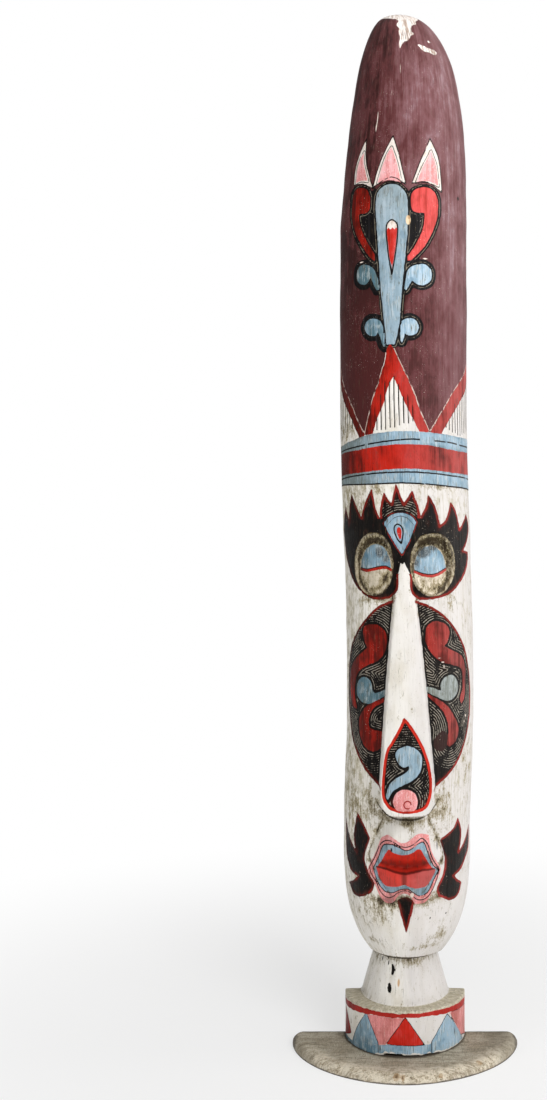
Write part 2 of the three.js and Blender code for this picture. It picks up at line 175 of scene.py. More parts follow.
# SURFACE-END
MOTIF = {
  "flame_mid": [
    (-24.2, 1634.8, 1), (-13.0, 1604.3), (-3.8, 1572.0), (3.3, 1546.1, 1), (-23.6, 1560.5), (-58.2, 1547.2, 1),
    (-51.4, 1576.3), (-38.9, 1606.7)],
  "flame_mid_core": [
    (-26.1, 1614.2, 1), (-15.2, 1586.6), (-6.0, 1550.8, 1), (-27.1, 1555.4), (-49.5, 1552.9, 1), (-42.0, 1580.2),
    (-34.1, 1600.7)],
  "flame_left": [
    (-80.7, 1639.5, 1), (-78.5, 1602.4), (-69.7, 1572.7), (-57.1, 1543.5, 1), (-80.8, 1557.4), (-107.4, 1562.8, 1),
    (-106.4, 1589.6), (-96.7, 1613.9)],
  "flame_left_core": [
    (-84.1, 1615.8, 1), (-83.4, 1595.7), (-76.3, 1574.2), (-70.2, 1559.4, 1), (-86.5, 1565.1), (-101.4, 1564.7, 1),
    (-99.6, 1589.4), (-92.9, 1605.6)],
  "flame_right": [
    (46.1, 1632.1, 1), (62.2, 1604.0), (68.5, 1579.6), (72.3, 1539.4, 1), (42.4, 1553.6), (13.2, 1549.2, 1),
    (28.6, 1591.1), (39.1, 1615.1)],
  "flame_right_core": [
    (48.1, 1609.8, 1), (59.3, 1584.9), (64.5, 1550.2, 1), (42.4, 1555.4), (21.9, 1550.8, 1), (32.8, 1579.1),
    (40.7, 1594.3)],
  "stalk": [
    (-23.1, 1548.4), (-6.9, 1542.9), (3.8, 1530.5), (7.6, 1512.1), (7.8, 1475.4), (4.0, 1428.2), (-0.7, 1381.0),
    (-3.1, 1349.6), (-6.3, 1310.3), (-10.6, 1283.3), (-15.4, 1266.8, 1), (-29.2, 1267.4, 1), (-31.5, 1284.2),
    (-34.3, 1311.5), (-38.2, 1351.2), (-41.7, 1383.1), (-45.1, 1430.9), (-48.3, 1478.7), (-50.7, 1515.9),
    (-48.9, 1534.2), (-38.6, 1545.2)],
  "stalk_drop": [
    (-19.8, 1485.0), (-12.0, 1479.0), (-9.9, 1466.7), (-11.7, 1444.1), (-15.9, 1414.5), (-20.4, 1389.4, 1),
    (-24.8, 1415.0), (-28.1, 1441.5), (-30.1, 1467.9), (-27.7, 1479.9)],
  "stalk_drop_red": [
    (-19.8, 1478.8), (-15.4, 1474.8), (-13.7, 1465.1), (-12.8, 1444.1), (-16.6, 1414.5), (-20.4, 1392.9, 1),
    (-23.9, 1414.9), (-27.0, 1439.6), (-26.3, 1453.6), (-24.2, 1470.9)],
  "scroll_hl": [
    (-85.4, 1552.2), (-71.7, 1545.5), (-64.7, 1534.3), (-62.6, 1519.7), (-63.9, 1508.5), (-71.2, 1503.7),
    (-83.0, 1505.3), (-87.6, 1503.8, 1), (-84.5, 1487.0), (-75.9, 1466.4), (-63.7, 1445.1), (-51.3, 1426.7, 1),
    (-51.3, 1415.0, 1), (-63.7, 1425.6), (-79.5, 1447.9), (-93.9, 1470.4), (-103.0, 1495.1), (-107.3, 1525.0),
    (-105.8, 1546.1), (-97.5, 1552.8)],
  "scroll_hr": [
    (35.1, 1543.9), (50.6, 1541.5), (61.1, 1531.8), (64.1, 1514.7), (63.2, 1495.1), (56.1, 1473.5), (44.2, 1450.1),
    (29.2, 1429.6), (13.5, 1414.4, 1), (7.5, 1412.8, 1), (8.2, 1422.1, 1), (18.1, 1435.6), (29.1, 1456.4),
    (35.8, 1473.7), (38.5, 1491.5), (38.4, 1498.8, 1), (25.1, 1499.0), (16.4, 1501.9), (13.2, 1514.1),
    (13.5, 1529.0), (20.4, 1539.0)],
  "hblack_l": [
    (-116.1, 1527.6), (-116.3, 1549.3), (-104.2, 1559.2), (-85.9, 1557.7), (-68.8, 1552.0), (-59.4, 1540.4),
    (-52.2, 1540.9), (-48.3, 1478.7), (-45.1, 1430.9), (-41.7, 1405.9), (-49.4, 1406.8), (-66.7, 1419.9),
    (-85.0, 1442.8), (-100.5, 1468.4), (-111.1, 1497.4)],
  "hblack_r": [
    (34.9, 1549.5), (53.5, 1547.3), (67.4, 1536.6), (71.3, 1516.1), (70.3, 1494.7), (62.7, 1472.1), (50.2, 1447.3),
    (34.1, 1425.3), (17.0, 1407.6), (3.0, 1403.7), (2.3, 1428.2), (6.1, 1475.4), (5.8, 1512.1), (2.8, 1529.6),
    (8.0, 1535.0), (17.5, 1544.2)],
  "curl_ul": [
    (-75.8, 1413.3), (-64.6, 1409.6), (-55.3, 1403.5), (-49.4, 1394.5), (-44.6, 1379.9), (-42.1, 1365.1, 1),
    (-47.8, 1363.9, 1), (-54.1, 1375.8), (-60.8, 1388.1, 1), (-63.9, 1382.4), (-70.0, 1377.7), (-77.9, 1378.0),
    (-87.3, 1384.7), (-91.7, 1395.3), (-90.6, 1405.8), (-84.3, 1411.9)],
  "curl_ur": [
    (32.3, 1408.5), (42.5, 1406.9), (50.2, 1399.9), (51.6, 1389.5), (47.3, 1379.3), (37.8, 1372.6), (26.9, 1372.1),
    (18.8, 1377.1), (14.9, 1379.5, 1), (10.9, 1371.5), (5.1, 1361.8, 1), (2.0, 1364.4, 1), (4.0, 1381.0),
    (7.4, 1395.0), (15.3, 1404.0)],
  "curl_ll": [
    (-56.3, 1315.2), (-46.5, 1312.7), (-40.2, 1307.6), (-35.7, 1297.6), (-32.4, 1284.2), (-31.7, 1273.7),
    (-32.8, 1262.4, 1), (-37.2, 1267.9), (-41.0, 1279.6), (-46.1, 1291.4, 1), (-48.4, 1286.4), (-55.7, 1284.1),
    (-65.6, 1287.8), (-71.7, 1296.2), (-72.6, 1305.1), (-66.7, 1313.1)],
  "curl_lr": [
    (13.5, 1313.1), (21.5, 1309.9), (26.5, 1302.2), (26.9, 1294.4), (22.0, 1286.3), (14.0, 1282.7), (6.5, 1283.9),
    (2.7, 1288.1, 1), (1.8, 1281.4), (-2.9, 1270.1, 1), (-5.0, 1274.5, 1), (-5.4, 1290.2), (-4.7, 1304.2),
    (2.1, 1310.8)],
  "zig_c_out": [
    (-23.2, 1268.7, 1), (-19.3, 1263.4), (-5.2, 1232.7), (9.1, 1204.3), (21.6, 1174.2), (32.2, 1144.3),
    (48.3, 1108.1, 1), (48.6, 1090.6, 1), (-76.2, 1092.5, 1), (-72.9, 1113.4, 1), (-61.3, 1155.1), (-51.8, 1183.0),
    (-43.8, 1202.3), (-34.3, 1233.7), (-30.6, 1251.4), (-27.7, 1262.9)],
  "zig_c_in": [
    (-17.7, 1210.8, 1), (-8.7, 1191.9), (1.8, 1166.8), (15.8, 1138.4), (30.7, 1109.1, 1), (29.9, 1089.8, 1),
    (-61.0, 1091.4, 1), (-57.6, 1112.2, 1), (-46.2, 1141.6), (-35.4, 1164.1), (-30.7, 1181.7), (-24.1, 1199.3)],
  "zig_l_out": [
    (-183.8, 1279.4, 1), (-144.3, 1215.8), (-111.2, 1171.6), (-85.9, 1128.8), (-74.7, 1111.8, 1), (-71.8, 1090.3, 1),
    (-183.8, 1103.0, 1), (-183.8, 1279.4, 1)],
  "zig_l_in": [
    (-183.8, 1249.7, 1), (-144.4, 1191.6), (-126.5, 1168.5), (-108.4, 1145.6), (-86.9, 1110.1, 1),
    (-83.4, 1089.5, 1), (-183.8, 1101.1, 1), (-183.8, 1249.7, 1)],
  "zig_r_out": [(188.0, 1284.0, 1), (171.0, 1259.0), (150.0, 1236.5), (124.0, 1213.0), (101.8, 1191.0), (75.4, 1156.4), (49.7, 1118.8, 1), (39.1, 1090.1, 1), (188.0, 1104.8, 1)],
  "zig_r_in": [(188.0, 1246.0, 1), (171.0, 1222.0), (152.0, 1201.5), (122.1, 1176.0), (92.6, 1143.7), (71.0, 1115.0, 1), (58.6, 1091.2, 1), (188.0, 1104.8, 1)],
  "fore_black": [
    (-38.4, 1007.2, 1), (-32.3, 995.3), (-25.0, 987.3, 1), (-21.7, 1000.7), (-16.3, 1022.7, 1), (-10.9, 1005.5),
    (-3.8, 987.1, 1), (4.1, 998.5), (11.7, 1010.4, 1), (17.6, 993.3), (23.0, 970.7), (20.6, 954.9, 1), (7.5, 923.4),
    (-5.7, 890.1), (-10.1, 881.4, 1), (-14.6, 888.5), (-28.8, 918.3), (-44.2, 951.8, 1), (-46.9, 971.1),
    (-43.9, 989.0)],
  "fore_tear": [
    (-40.3, 954.3, 1), (-32.5, 965.6), (-21.5, 971.5), (-9.9, 973.2), (2.2, 970.9), (11.6, 964.4), (17.1, 956.1, 1),
    (5.0, 927.0), (-9.9, 899.8, 1), (-26.9, 927.2)],
  "fore_drop": [
    (-15.1, 952.6), (-9.4, 948.7), (-6.9, 940.8), (-7.8, 930.4), (-10.5, 919.0, 1), (-16.9, 926.9), (-21.3, 938.3),
    (-21.7, 947.0), (-19.0, 951.4)],
  "fore_drop_red": [
    (-13.7, 947.8), (-10.3, 944.3), (-9.3, 936.5), (-10.9, 922.7, 1), (-15.0, 929.5), (-17.5, 938.3), (-16.8, 945.2)],
  "brow_l": [
    (-62.8, 1014.3, 1), (-56.8, 984.5), (-49.4, 961.9), (-37.2, 934.6), (-25.5, 905.2), (-13.1, 884.1, 1),
    (-18.2, 864.0), (-20.9, 837.8), (-34.9, 824.0, 1), (-63.5, 822.1), (-92.2, 832.7), (-121.5, 858.9),
    (-145.8, 894.7), (-155.9, 928.5), (-156.4, 962.0), (-140.0, 988.3, 1), (-125.9, 957.6, 1), (-122.8, 985.4),
    (-113.5, 1007.4, 1), (-99.9, 984.0), (-87.3, 965.0, 1), (-80.0, 985.4)],
  "brow_r": [
    (40.5, 1003.6, 1), (51.9, 984.3), (59.3, 959.7), (60.3, 949.9, 1), (76.3, 962.8), (87.8, 993.3, 1),
    (102.0, 973.9), (108.9, 945.4, 1), (122.2, 957.4), (139.7, 974.9, 1), (150.4, 953.8), (137.2, 926.4),
    (118.4, 908.1, 1), (141.1, 905.9, 1), (140.7, 892.1), (130.1, 874.1), (107.8, 853.7), (80.4, 833.2),
    (50.1, 823.6), (18.8, 820.9, 1), (5.4, 834.3), (2.8, 864.0), (-6.2, 885.2, 1), (4.8, 919.7), (15.6, 946.6),
    (26.3, 966.3), (36.2, 983.9)],
  "sock_l": [
    (-61.7, 937.7), (-44.1, 931.7), (-31.7, 914.0), (-27.2, 885.1), (-32.1, 855.3), (-45.9, 835.1), (-65.3, 828.8),
    (-89.1, 835.9), (-107.2, 857.3), (-112.0, 884.3), (-102.1, 912.7), (-83.1, 932.0)],
  "sock_r": [
    (49.1, 936.3), (70.4, 931.3), (87.1, 914.1), (93.5, 884.9), (84.5, 855.4), (65.6, 835.0), (43.3, 827.8),
    (22.2, 834.2), (9.2, 853.5), (5.5, 881.5), (9.7, 909.5), (25.5, 930.5)],
  "oval": [
    (-31.0, 818.9, 1), (-61.1, 805.2), (-94.4, 777.2), (-124.7, 746.1), (-143.7, 709.6), (-149.0, 665.7),
    (-144.1, 622.7), (-131.2, 578.3), (-110.2, 548.0), (-85.3, 520.4), (-54.7, 494.2, 1), (-4.6, 458.1, 1),
    (54.3, 495.0, 1), (80.6, 516.0), (104.9, 543.7), (124.9, 579.1), (135.7, 616.0), (137.8, 653.9), (131.7, 692.5),
    (116.4, 731.4), (91.9, 764.8), (63.3, 792.8), (33.7, 810.3), (11.0, 818.0, 1)],
  "sc_ul": [
    (-87.6, 773.6), (-64.9, 777.0), (-49.7, 769.8), (-42.1, 756.7), (-42.6, 739.1), (-49.5, 723.1), (-63.1, 710.9),
    (-86.5, 702.5), (-105.6, 691.7), (-116.1, 675.8), (-119.7, 652.2), (-111.3, 624.1, 1), (-129.0, 631.5),
    (-137.2, 656.1), (-139.9, 679.5), (-132.0, 700.0), (-115.0, 715.4), (-93.8, 728.0), (-82.6, 735.5, 1),
    (-90.3, 747.7), (-92.2, 762.8)],
  "sc_ur": [
    (32.8, 776.2), (48.9, 783.1), (67.9, 776.1), (75.3, 763.2), (71.6, 749.1), (64.1, 738.2, 1), (84.0, 729.0),
    (106.8, 719.3), (116.9, 701.2), (119.0, 678.2), (114.7, 648.3), (104.3, 632.9, 1), (100.7, 644.4),
    (108.0, 663.9), (107.7, 686.5), (100.2, 699.3), (77.1, 705.6), (55.9, 711.2), (37.1, 727.8), (27.9, 746.2),
    (27.8, 763.4)],
  "co_l": [
    (-112.6, 661.7), (-107.2, 675.5), (-92.9, 682.6), (-79.4, 679.6), (-73.0, 669.3), (-71.4, 659.6), (-62.9, 655.6),
    (-43.0, 663.4, 1), (-43.0, 652.7, 1), (-59.8, 643.7), (-77.1, 635.6), (-95.6, 637.8), (-109.4, 647.6)],
  "co_r": [
    (55.8, 671.5), (64.6, 683.5), (80.2, 686.7), (92.4, 677.4), (94.8, 662.3), (87.0, 647.8), (70.7, 641.2),
    (53.0, 646.9), (36.8, 654.8), (23.7, 661.1, 1), (23.8, 670.2, 1), (42.1, 664.5), (56.2, 660.3, 1)],
  "sc_ll": [
    (-43.0, 649.6, 1), (-43.0, 641.9, 1), (-62.9, 632.6), (-74.8, 621.3), (-79.7, 605.1), (-75.6, 592.0),
    (-48.4, 587.6, 1), (-47.4, 561.1, 1), (-67.6, 551.8), (-86.2, 557.5), (-98.7, 573.3), (-105.5, 592.4),
    (-102.0, 612.3), (-86.6, 630.4), (-66.0, 640.4)],
  "sc_lr": [
    (27.6, 659.6, 1), (40.6, 649.4), (54.2, 642.8), (70.9, 630.9), (84.3, 613.8), (95.1, 597.0), (96.7, 580.8),
    (88.5, 567.3), (76.3, 560.2, 1), (70.5, 565.0), (72.6, 587.9), (68.3, 608.6), (58.2, 625.8), (42.5, 640.5),
    (27.6, 652.8, 1)],
  "blob_dk": [
    (48.8, 580.4), (60.6, 588.6), (71.1, 581.0), (71.2, 565.0), (61.8, 553.2), (47.7, 555.8), (42.4, 568.4)],
  "npan": [
    (-11.8, 618.0, 1), (-20.1, 598.2), (-32.2, 576.1), (-41.9, 558.8), (-46.1, 528.4), (-47.3, 497.2),
    (-44.6, 477.4), (-32.8, 461.9), (-12.8, 455.4), (11.2, 455.4), (30.6, 462.0), (39.5, 477.8), (41.0, 503.1),
    (37.0, 529.8), (27.0, 559.5), (11.5, 588.6), (-3.3, 609.5)],
  "nball": [
    (-5.5, 495.4), (5.3, 493.1), (13.3, 485.6), (16.3, 475.4), (14.9, 464.5), (10.8, 458.8, 1), (-18.4, 458.5, 1),
    (-23.9, 465.9), (-26.0, 475.0), (-23.2, 485.3), (-15.9, 492.8)],
  "qmark": [
    (-25.0, 552.1), (-21.0, 562.4), (-7.8, 568.7), (6.9, 566.1), (18.5, 555.1), (21.5, 540.3), (17.9, 523.5),
    (6.3, 510.3), (-13.9, 500.3), (-28.4, 490.1), (-36.1, 473.8, 1), (-38.6, 484.3), (-35.0, 498.1), (-24.8, 511.8),
    (-8.7, 521.6), (-0.5, 529.7), (-1.1, 536.0, 1), (-9.2, 532.6), (-18.4, 537.9)],
  "fl_l": [
    (-101.2, 440.2, 1), (-84.8, 419.9), (-70.8, 398.4, 1), (-78.9, 376.2), (-82.8, 357.8), (-72.9, 335.8),
    (-61.5, 319.2, 1), (-69.9, 302.8), (-91.8, 291.8), (-116.8, 291.2), (-135.1, 308.0, 1), (-115.0, 315.3),
    (-99.5, 326.5, 1), (-124.5, 335.0), (-142.1, 364.7), (-149.1, 423.3, 1), (-126.2, 389.9), (-103.6, 369.0, 1),
    (-111.3, 398.2)],
  "fl_r": [
    (103.9, 429.4, 1), (114.5, 408.3), (112.8, 385.3), (105.4, 368.6, 1), (126.4, 382.6), (153.9, 409.5, 1),
    (150.3, 373.7), (131.2, 354.4), (113.2, 336.5), (92.9, 327.8, 1), (106.4, 317.9), (119.2, 311.0, 1),
    (111.3, 292.2), (89.3, 285.2), (61.1, 295.5, 1), (57.5, 310.6), (69.6, 336.1), (71.1, 362.7), (61.1, 395.8, 1),
    (78.6, 403.9), (93.4, 413.4)],
  "spike": [
    (-17.4, 291.5, 1), (-1.9, 298.3), (12.8, 289.6, 1), (8.4, 271.0), (-1.5, 236.1, 1), (-11.1, 267.5)],
  "lip_out": [
    (-47.0, 402.6, 1), (-36.7, 410.8), (-26.4, 408.8), (-14.2, 401.9), (-4.5, 400.3), (5.0, 405.5), (15.8, 414.0),
    (26.1, 414.4), (39.0, 408.9, 1), (41.6, 392.1), (47.6, 372.6), (63.0, 344.7, 1), (61.3, 335.3), (50.6, 314.1),
    (43.4, 299.2), (34.7, 287.9), (22.8, 284.8), (14.0, 285.8), (5.1, 301.8), (-6.2, 306.7), (-17.6, 298.4),
    (-23.8, 288.5), (-36.0, 284.9), (-49.4, 294.1), (-58.2, 311.8), (-65.9, 327.9), (-74.6, 338.1), (-72.3, 348.2),
    (-59.9, 372.2)],
  "lip_line": [
    (-70.8, 346.8, 1), (-60.0, 366.7), (-49.7, 389.9), (-41.2, 399.6), (-32.7, 402.5), (-25.3, 401.8),
    (-14.2, 395.5), (-1.9, 392.9), (10.3, 397.0), (19.0, 403.8), (25.6, 407.0), (32.7, 401.0), (38.5, 390.7),
    (46.2, 365.7), (60.0, 343.5, 1), (53.9, 323.6), (45.5, 305.6), (35.2, 294.4), (22.6, 291.7), (13.8, 296.5),
    (4.3, 311.8), (-6.2, 314.5), (-16.3, 308.5), (-26.5, 297.4), (-38.4, 296.1), (-49.8, 306.1), (-57.8, 322.3),
    (-67.4, 336.5)],
  "lip_blue": [
    (-63.1, 345.9, 1), (-53.8, 364.3), (-45.6, 387.0), (-39.2, 394.7), (-26.6, 396.7), (-14.2, 392.0), (-3.3, 387.5),
    (6.3, 388.9), (15.9, 396.1), (25.6, 400.7), (31.2, 396.3), (36.9, 380.9), (44.3, 359.1), (57.8, 342.1, 1),
    (50.2, 328.1), (41.4, 310.8), (32.7, 301.5), (22.4, 299.5), (13.6, 306.3), (3.6, 318.1), (-6.2, 318.7),
    (-14.6, 315.2), (-26.3, 306.1), (-38.1, 305.5), (-48.5, 314.5), (-56.1, 326.1)],
  "mouth_red": [
    (-56.7, 348.8, 1), (-46.6, 361.4), (-36.6, 382.9), (-30.9, 387.5), (-25.4, 382.0), (-14.3, 378.0), (-3.3, 378.1),
    (7.7, 380.7), (18.5, 389.0), (25.6, 385.3), (32.9, 369.7), (42.0, 353.4), (52.6, 344.0, 1), (48.5, 335.0),
    (42.6, 324.9), (33.8, 316.6), (19.0, 317.9), (5.0, 322.9), (-4.5, 327.2), (-14.5, 323.8), (-28.7, 319.1),
    (-39.2, 317.6), (-46.7, 324.6), (-52.4, 334.7)],
  "top_chip": [
    (-183.8, 1914.4, 1), (183.8, 1914.4, 1), (60.7, 1871.8), (46.7, 1859.0, 1), (27.9, 1854.3), (19.4, 1842.1, 1),
    (27.5, 1833.6, 1), (16.2, 1828.8), (8.5, 1819.3), (-3.2, 1815.8), (-7.9, 1811.5, 1), (-14.1, 1801.9, 1),
    (-15.9, 1811.8), (-12.6, 1827.4), (-17.7, 1838.3, 1), (-12.9, 1845.5), (-22.5, 1855.8, 1), (-24.8, 1872.2),
    (-183.8, 1899.6)],
  "scrape1": [
    (25.9, 1812.6, 1), (39.6, 1811.3), (55.4, 1807.6), (74.9, 1806.9, 1), (88.6, 1800.1, 1), (69.3, 1796.2),
    (53.9, 1797.8), (40.6, 1798.6), (35.3, 1804.5)],
  "scrape2": [
    (60.9, 1825.7, 1), (69.3, 1822.8), (78.3, 1820.5, 1), (70.2, 1818.0), (61.6, 1820.0)],
  "d_sliver": [
    (-155.9, 78.9, 1), (-137.9, 59.8), (-125.9, 36.9, 1), (-170.4, 20.1, 1)],
  "d_blue1": [
    (-78.0, 88.6, 1), (-50.0, 36.8, 1), (-122.4, 24.5, 1), (-102.8, 57.0)],
  "d_pink1": [
    (-73.4, 94.9, 1), (-1.5, 92.8, 1), (-41.1, 35.5, 1)],
  "d_red1": [
    (0.9, 88.9, 1), (37.5, 37.8, 1), (-36.3, 39.3, 1)],
  "d_blue2": [
    (87.0, 83.9, 1), (129.6, 39.2, 1), (150.3, 15.2, 1), (89.6, 29.6), (48.0, 38.0, 1)],
  "d_pink2": [
    (91.8, 90.5, 1), (183.8, 70.5, 1), (183.8, 18.5, 1), (132.5, 35.2, 1)],
}
CURVE = {
  "band_top": [
    (-145.4, 1100.7), (-101.4, 1105.5), (-72.1, 1111.0), (-42.7, 1113.8), (-18.6, 1115.4), (5.6, 1115.2),
    (28.1, 1114.8), (53.1, 1114.1), (84.0, 1113.3), (114.7, 1112.0), (183.8, 1115.2)],
  "band_dash": [
    (-139.9, 1090.8), (-96.2, 1092.5), (-65.7, 1095.2), (-43.1, 1097.3), (-20.9, 1099.3), (13.2, 1101.8),
    (52.8, 1100.3), (96.7, 1099.6), (121.5, 1097.8), (183.8, 1100.0)],
  "band_redtop": [
    (-146.7, 1086.5), (-91.0, 1086.6), (-51.4, 1089.9), (-13.8, 1092.4), (15.6, 1092.6), (46.5, 1091.9),
    (83.2, 1087.5), (113.6, 1086.4), (183.8, 1090.5)],
  "band_redbot": [
    (-151.3, 1046.1), (-92.7, 1045.9), (-52.7, 1047.2), (-11.2, 1050.0), (12.7, 1049.7), (39.4, 1049.0),
    (94.6, 1046.0), (168.1, 1049.0)],
  "band_line2": [
    (-144.6, 1040.7), (-92.9, 1041.3), (-52.8, 1043.0), (-7.9, 1043.9), (19.6, 1044.0), (48.9, 1042.9),
    (88.3, 1040.9), (165.3, 1040.9)],
  "band_bot": [
    (-147.4, 1029.0), (-93.6, 1025.3), (-61.2, 1024.1), (-34.1, 1024.4), (-9.0, 1025.0), (15.5, 1024.4),
    (41.2, 1023.3), (85.7, 1021.4), (169.4, 1022.2)],
  "lid_l": [
    (-101.7, 879.3), (-91.2, 876.2), (-79.9, 873.9), (-69.6, 875.2), (-58.4, 877.2), (-49.0, 878.9), (-39.4, 879.2),
    (-28.9, 874.1)],
  "lid_r": [
    (8.4, 872.3), (15.4, 869.7), (22.7, 866.7), (35.3, 864.1), (46.3, 864.8), (54.3, 867.1), (64.9, 872.6),
    (75.8, 878.2)],
  "mouth_line": [
    (-57.1, 350.3), (-37.1, 350.1), (-19.9, 345.7), (-3.3, 343.5), (10.4, 345.5), (27.4, 348.8), (50.5, 347.0)],
  "scratch1": [
    (-37.9, 281.2), (-49.4, 262.8), (-63.3, 243.4)],
  "d_rimlow": [
    (-150.3, 76.4), (-118.4, 83.9), (-97.9, 87.0), (-74.4, 90.1), (-53.6, 91.9), (-32.0, 92.2), (-13.0, 91.1),
    (2.4, 89.3), (18.7, 88.7), (33.8, 88.5), (50.0, 88.1), (68.5, 88.0), (89.6, 87.5), (114.6, 85.3), (150.3, 79.1)],
  "d_base": [
    (-154.8, 26.2), (-122.4, 25.4), (-89.6, 30.5), (-50.0, 35.9), (-35.9, 38.7), (-1.9, 40.6), (37.1, 37.8),
    (48.8, 37.9), (87.0, 31.2), (129.6, 24.7), (176.2, 16.9)],
}


# ------------------------------------------------------------------ small tools
def wobble(s, z, seed, wave, octaves=3):
    """Smooth repeatable unevenness from a sum of sines, about -1 to 1."""
    rng = np.random.RandomState(seed)
    out = np.zeros(np.broadcast(s, z).shape)
    gain, total = 1.0, 0.0
    for o in range(octaves):
        for _ in range(4):
            a = rng.uniform(0, 2 * math.pi)
            k = 2 * math.pi / wave * (1.9 ** o) * rng.uniform(0.7, 1.3)
            out = out + gain * np.sin(k * (math.cos(a) * s + math.sin(a) * z) + rng.uniform(0, 6.3))
        total += gain * 2.0
        gain *= 0.55
    return out / total


def outline(points, steps=5):
    """A closed outline from control points: straight into a corner (1), smooth elsewhere."""
    n = len(points)
    p = np.array([q[:2] for q in points], float)
    corner = [len(q) > 2 for q in points]
    out = []
    for i in range(n):
        a, b = p[i], p[(i + 1) % n]
        before = a - (b - a) if corner[i] else p[i - 1]
        after = b + (b - a) if corner[(i + 1) % n] else p[(i + 2) % n]
        for k in range(steps):
            t = k / steps
            out.append(0.5 * ((2 * a) + (b - before) * t + (2 * before - 5 * a + 4 * b - after) * t * t
                              + (3 * a - before - 3 * b + after) * t ** 3))
    return np.array(out)


FAR = -40.0


def inside(points, s, z, reach=26.0):
    """Signed distance to a closed outline, positive inside, over arrays s and z."""
    poly = outline(points)
    lo, hi = poly.min(0) - reach, poly.max(0) + reach
    near = (s > lo[0]) & (s < hi[0]) & (z > lo[1]) & (z < hi[1])
    out = np.full(s.shape, FAR)
    ps, pz = s[near], z[near]
    best = np.full(ps.shape, 1e18)
    odd = np.zeros(ps.shape, bool)
    for i in range(len(poly)):
        ax, az = poly[i - 1]
        bx, bz = poly[i]
        ex, ez = bx - ax, bz - az
        t = np.clip(((ps - ax) * ex + (pz - az) * ez) / max(ex * ex + ez * ez, 1e-9), 0, 1)
        d2 = (ps - ax - t * ex) ** 2 + (pz - az - t * ez) ** 2
        best = np.minimum(best, d2)
        cross = ((az > pz) != (bz > pz))
        with np.errstate(divide="ignore", invalid="ignore"):
            hit = cross & (ps < (bx - ax) * (pz - az) / (bz - az if bz != az else 1e-9) + ax)
        odd ^= hit
    out[near] = np.where(odd, 1, -1) * np.sqrt(best)
    return out


def height_of(curve, s):
    """z of an open curve at each s."""
    c = sorted(curve)
    return np.interp(s, [q[0] for q in c], [q[1] for q in c])


def union(*fields):
    out = fields[0]
    for f in fields[1:]:
        out = np.maximum(out, f)
    return out


# ---------------------------------------------------------------------- the grid
COLS = 146
u = np.linspace(-1, 1, COLS + 1)
ANGLE = (0.86 * u + 0.14 * u ** 3) * math.pi / 2
SIN, COS = np.sin(ANGLE), np.cos(ANGLE)
SIN[0], SIN[-1], COS[0], COS[-1] = -1, 1, 0, 0
S_OF = R0 * ANGLE


def spaced(a, b, step):
    n = max(1, int(round(abs(b - a) / step)))
    return list(np.linspace(a, b, n + 1)[:-1])


levels = []                       # (kind, parameter) from the drum's foot up to the dome
for zz in [18, 18.7, 19.6, 20.8, 22.2, 24, 26.2, 29] + spaced(32, 92, 3.2) + [92, 94.2, 95.6]:
    levels.append(("drum", zz))
levels += [("rim", k) for k in range(4)]
levels += [("shelf", k) for k in (104.0, 98.5, 93.0, 88.0, 84.0)]
levels += [("fillet", k) for k in range(4)]
levels += [("neck", zz) for zz in spaced(104, 177, 3.2) + [177]]
levels += [("chin", k) for k in (0.25, 0.55, 0.8, 0.95)]
face_levels = [180.6, 181.6, 183] + spaced(185, 290, 3.0) + spaced(290, 960, 2.55)
levels += [("log", zz) for zz in face_levels + spaced(960, 1120, 3.2) + spaced(1120, 1660, 3.6)
           + spaced(1660, 1790, 5.0)]
levels += [("log", 1790 + (DOME_TOP - 1790) * math.sin(k / 26 * math.pi / 2)) for k in range(26)]

rows_x, rows_y, rows_z = [], [], []
for kind, p in levels:
    lift = 0.0
    if kind == "drum":
        c, w, d, zz = 0, DRUM_R, DRUM_R, p
    elif kind == "rim":
        a = (p + 1) / 4 * math.pi / 2
        c, w, zz = 0, DRUM_R - 2.2 * (1 - math.cos(a)), 95.8 + 2.2 * math.sin(a)
        d = w
    elif kind == "shelf":
        t = (p - NECK_HALF[0]) / (DRUM_R - NECK_HALF[0])
        c, w, zz = 0, p, mix(98.6, 98.0, t)
        d = mix(NECK_DEPTH[0], DRUM_R, t)
    elif kind == "fillet":
        a = (p + 1) / 4
        zz = 98.6 + 4.4 * a ** 1.6
        c, w = 0, mix(82.5, 78.9, a)
        d = w + 8
    elif kind == "neck":
        t = (p - NECK_LOW) / (NECK_TOP - NECK_LOW)
        c, w, d, zz = 0, mix(80, 57.5, t), mix(88, 70, t), p
    elif kind == "chin":
        jc, jw, jd = (float(v) for v in log_section(JAW_LOW))
        c, w, d = jc * p, mix(57.5, jw - 0.8, p), mix(70, jd - 1.0, p)
        zz = mix(177.4, 179.6, p)
        lift = 5.6 * smooth(0, 0.9, p)
    else:
        c, w, d = (float(v) for v in log_section(p))
        zz, lift = p, float(jaw_lift(p))
    rows_x.append(c + w * SIN)
    rows_y.append(d * COS)                      # depth in front of the back plane
    rows_z.append(zz + lift * COS)
X = np.array(rows_x); DEEP = np.array(rows_y); Z = np.array(rows_z)
S = np.broadcast_to(S_OF, X.shape).copy()
KIND = np.array([k for k, _ in levels])
ROWS = len(levels)
is_log = (KIND == "log")[:, None] & np.ones_like(S, bool)
is_drum = np.isin(KIND, ("drum", "rim"))[:, None] & np.ones_like(S, bool)
is_neck = np.isin(KIND, ("neck", "fillet", "chin"))[:, None] & np.ones_like(S, bool)
is_shelf = (KIND == "shelf")[:, None] & np.ones_like(S, bool)

# ------------------------------------------------------------- ornament as distances
F = {name: inside(pts, S, Z, 95.0 if name[:3] in ("sc_", "co_") else 26.0) for name, pts in MOTIF.items()}
for name in F:
    on = is_drum if name.startswith("d_") else is_log
    F[name] = np.where(on, F[name], FAR)

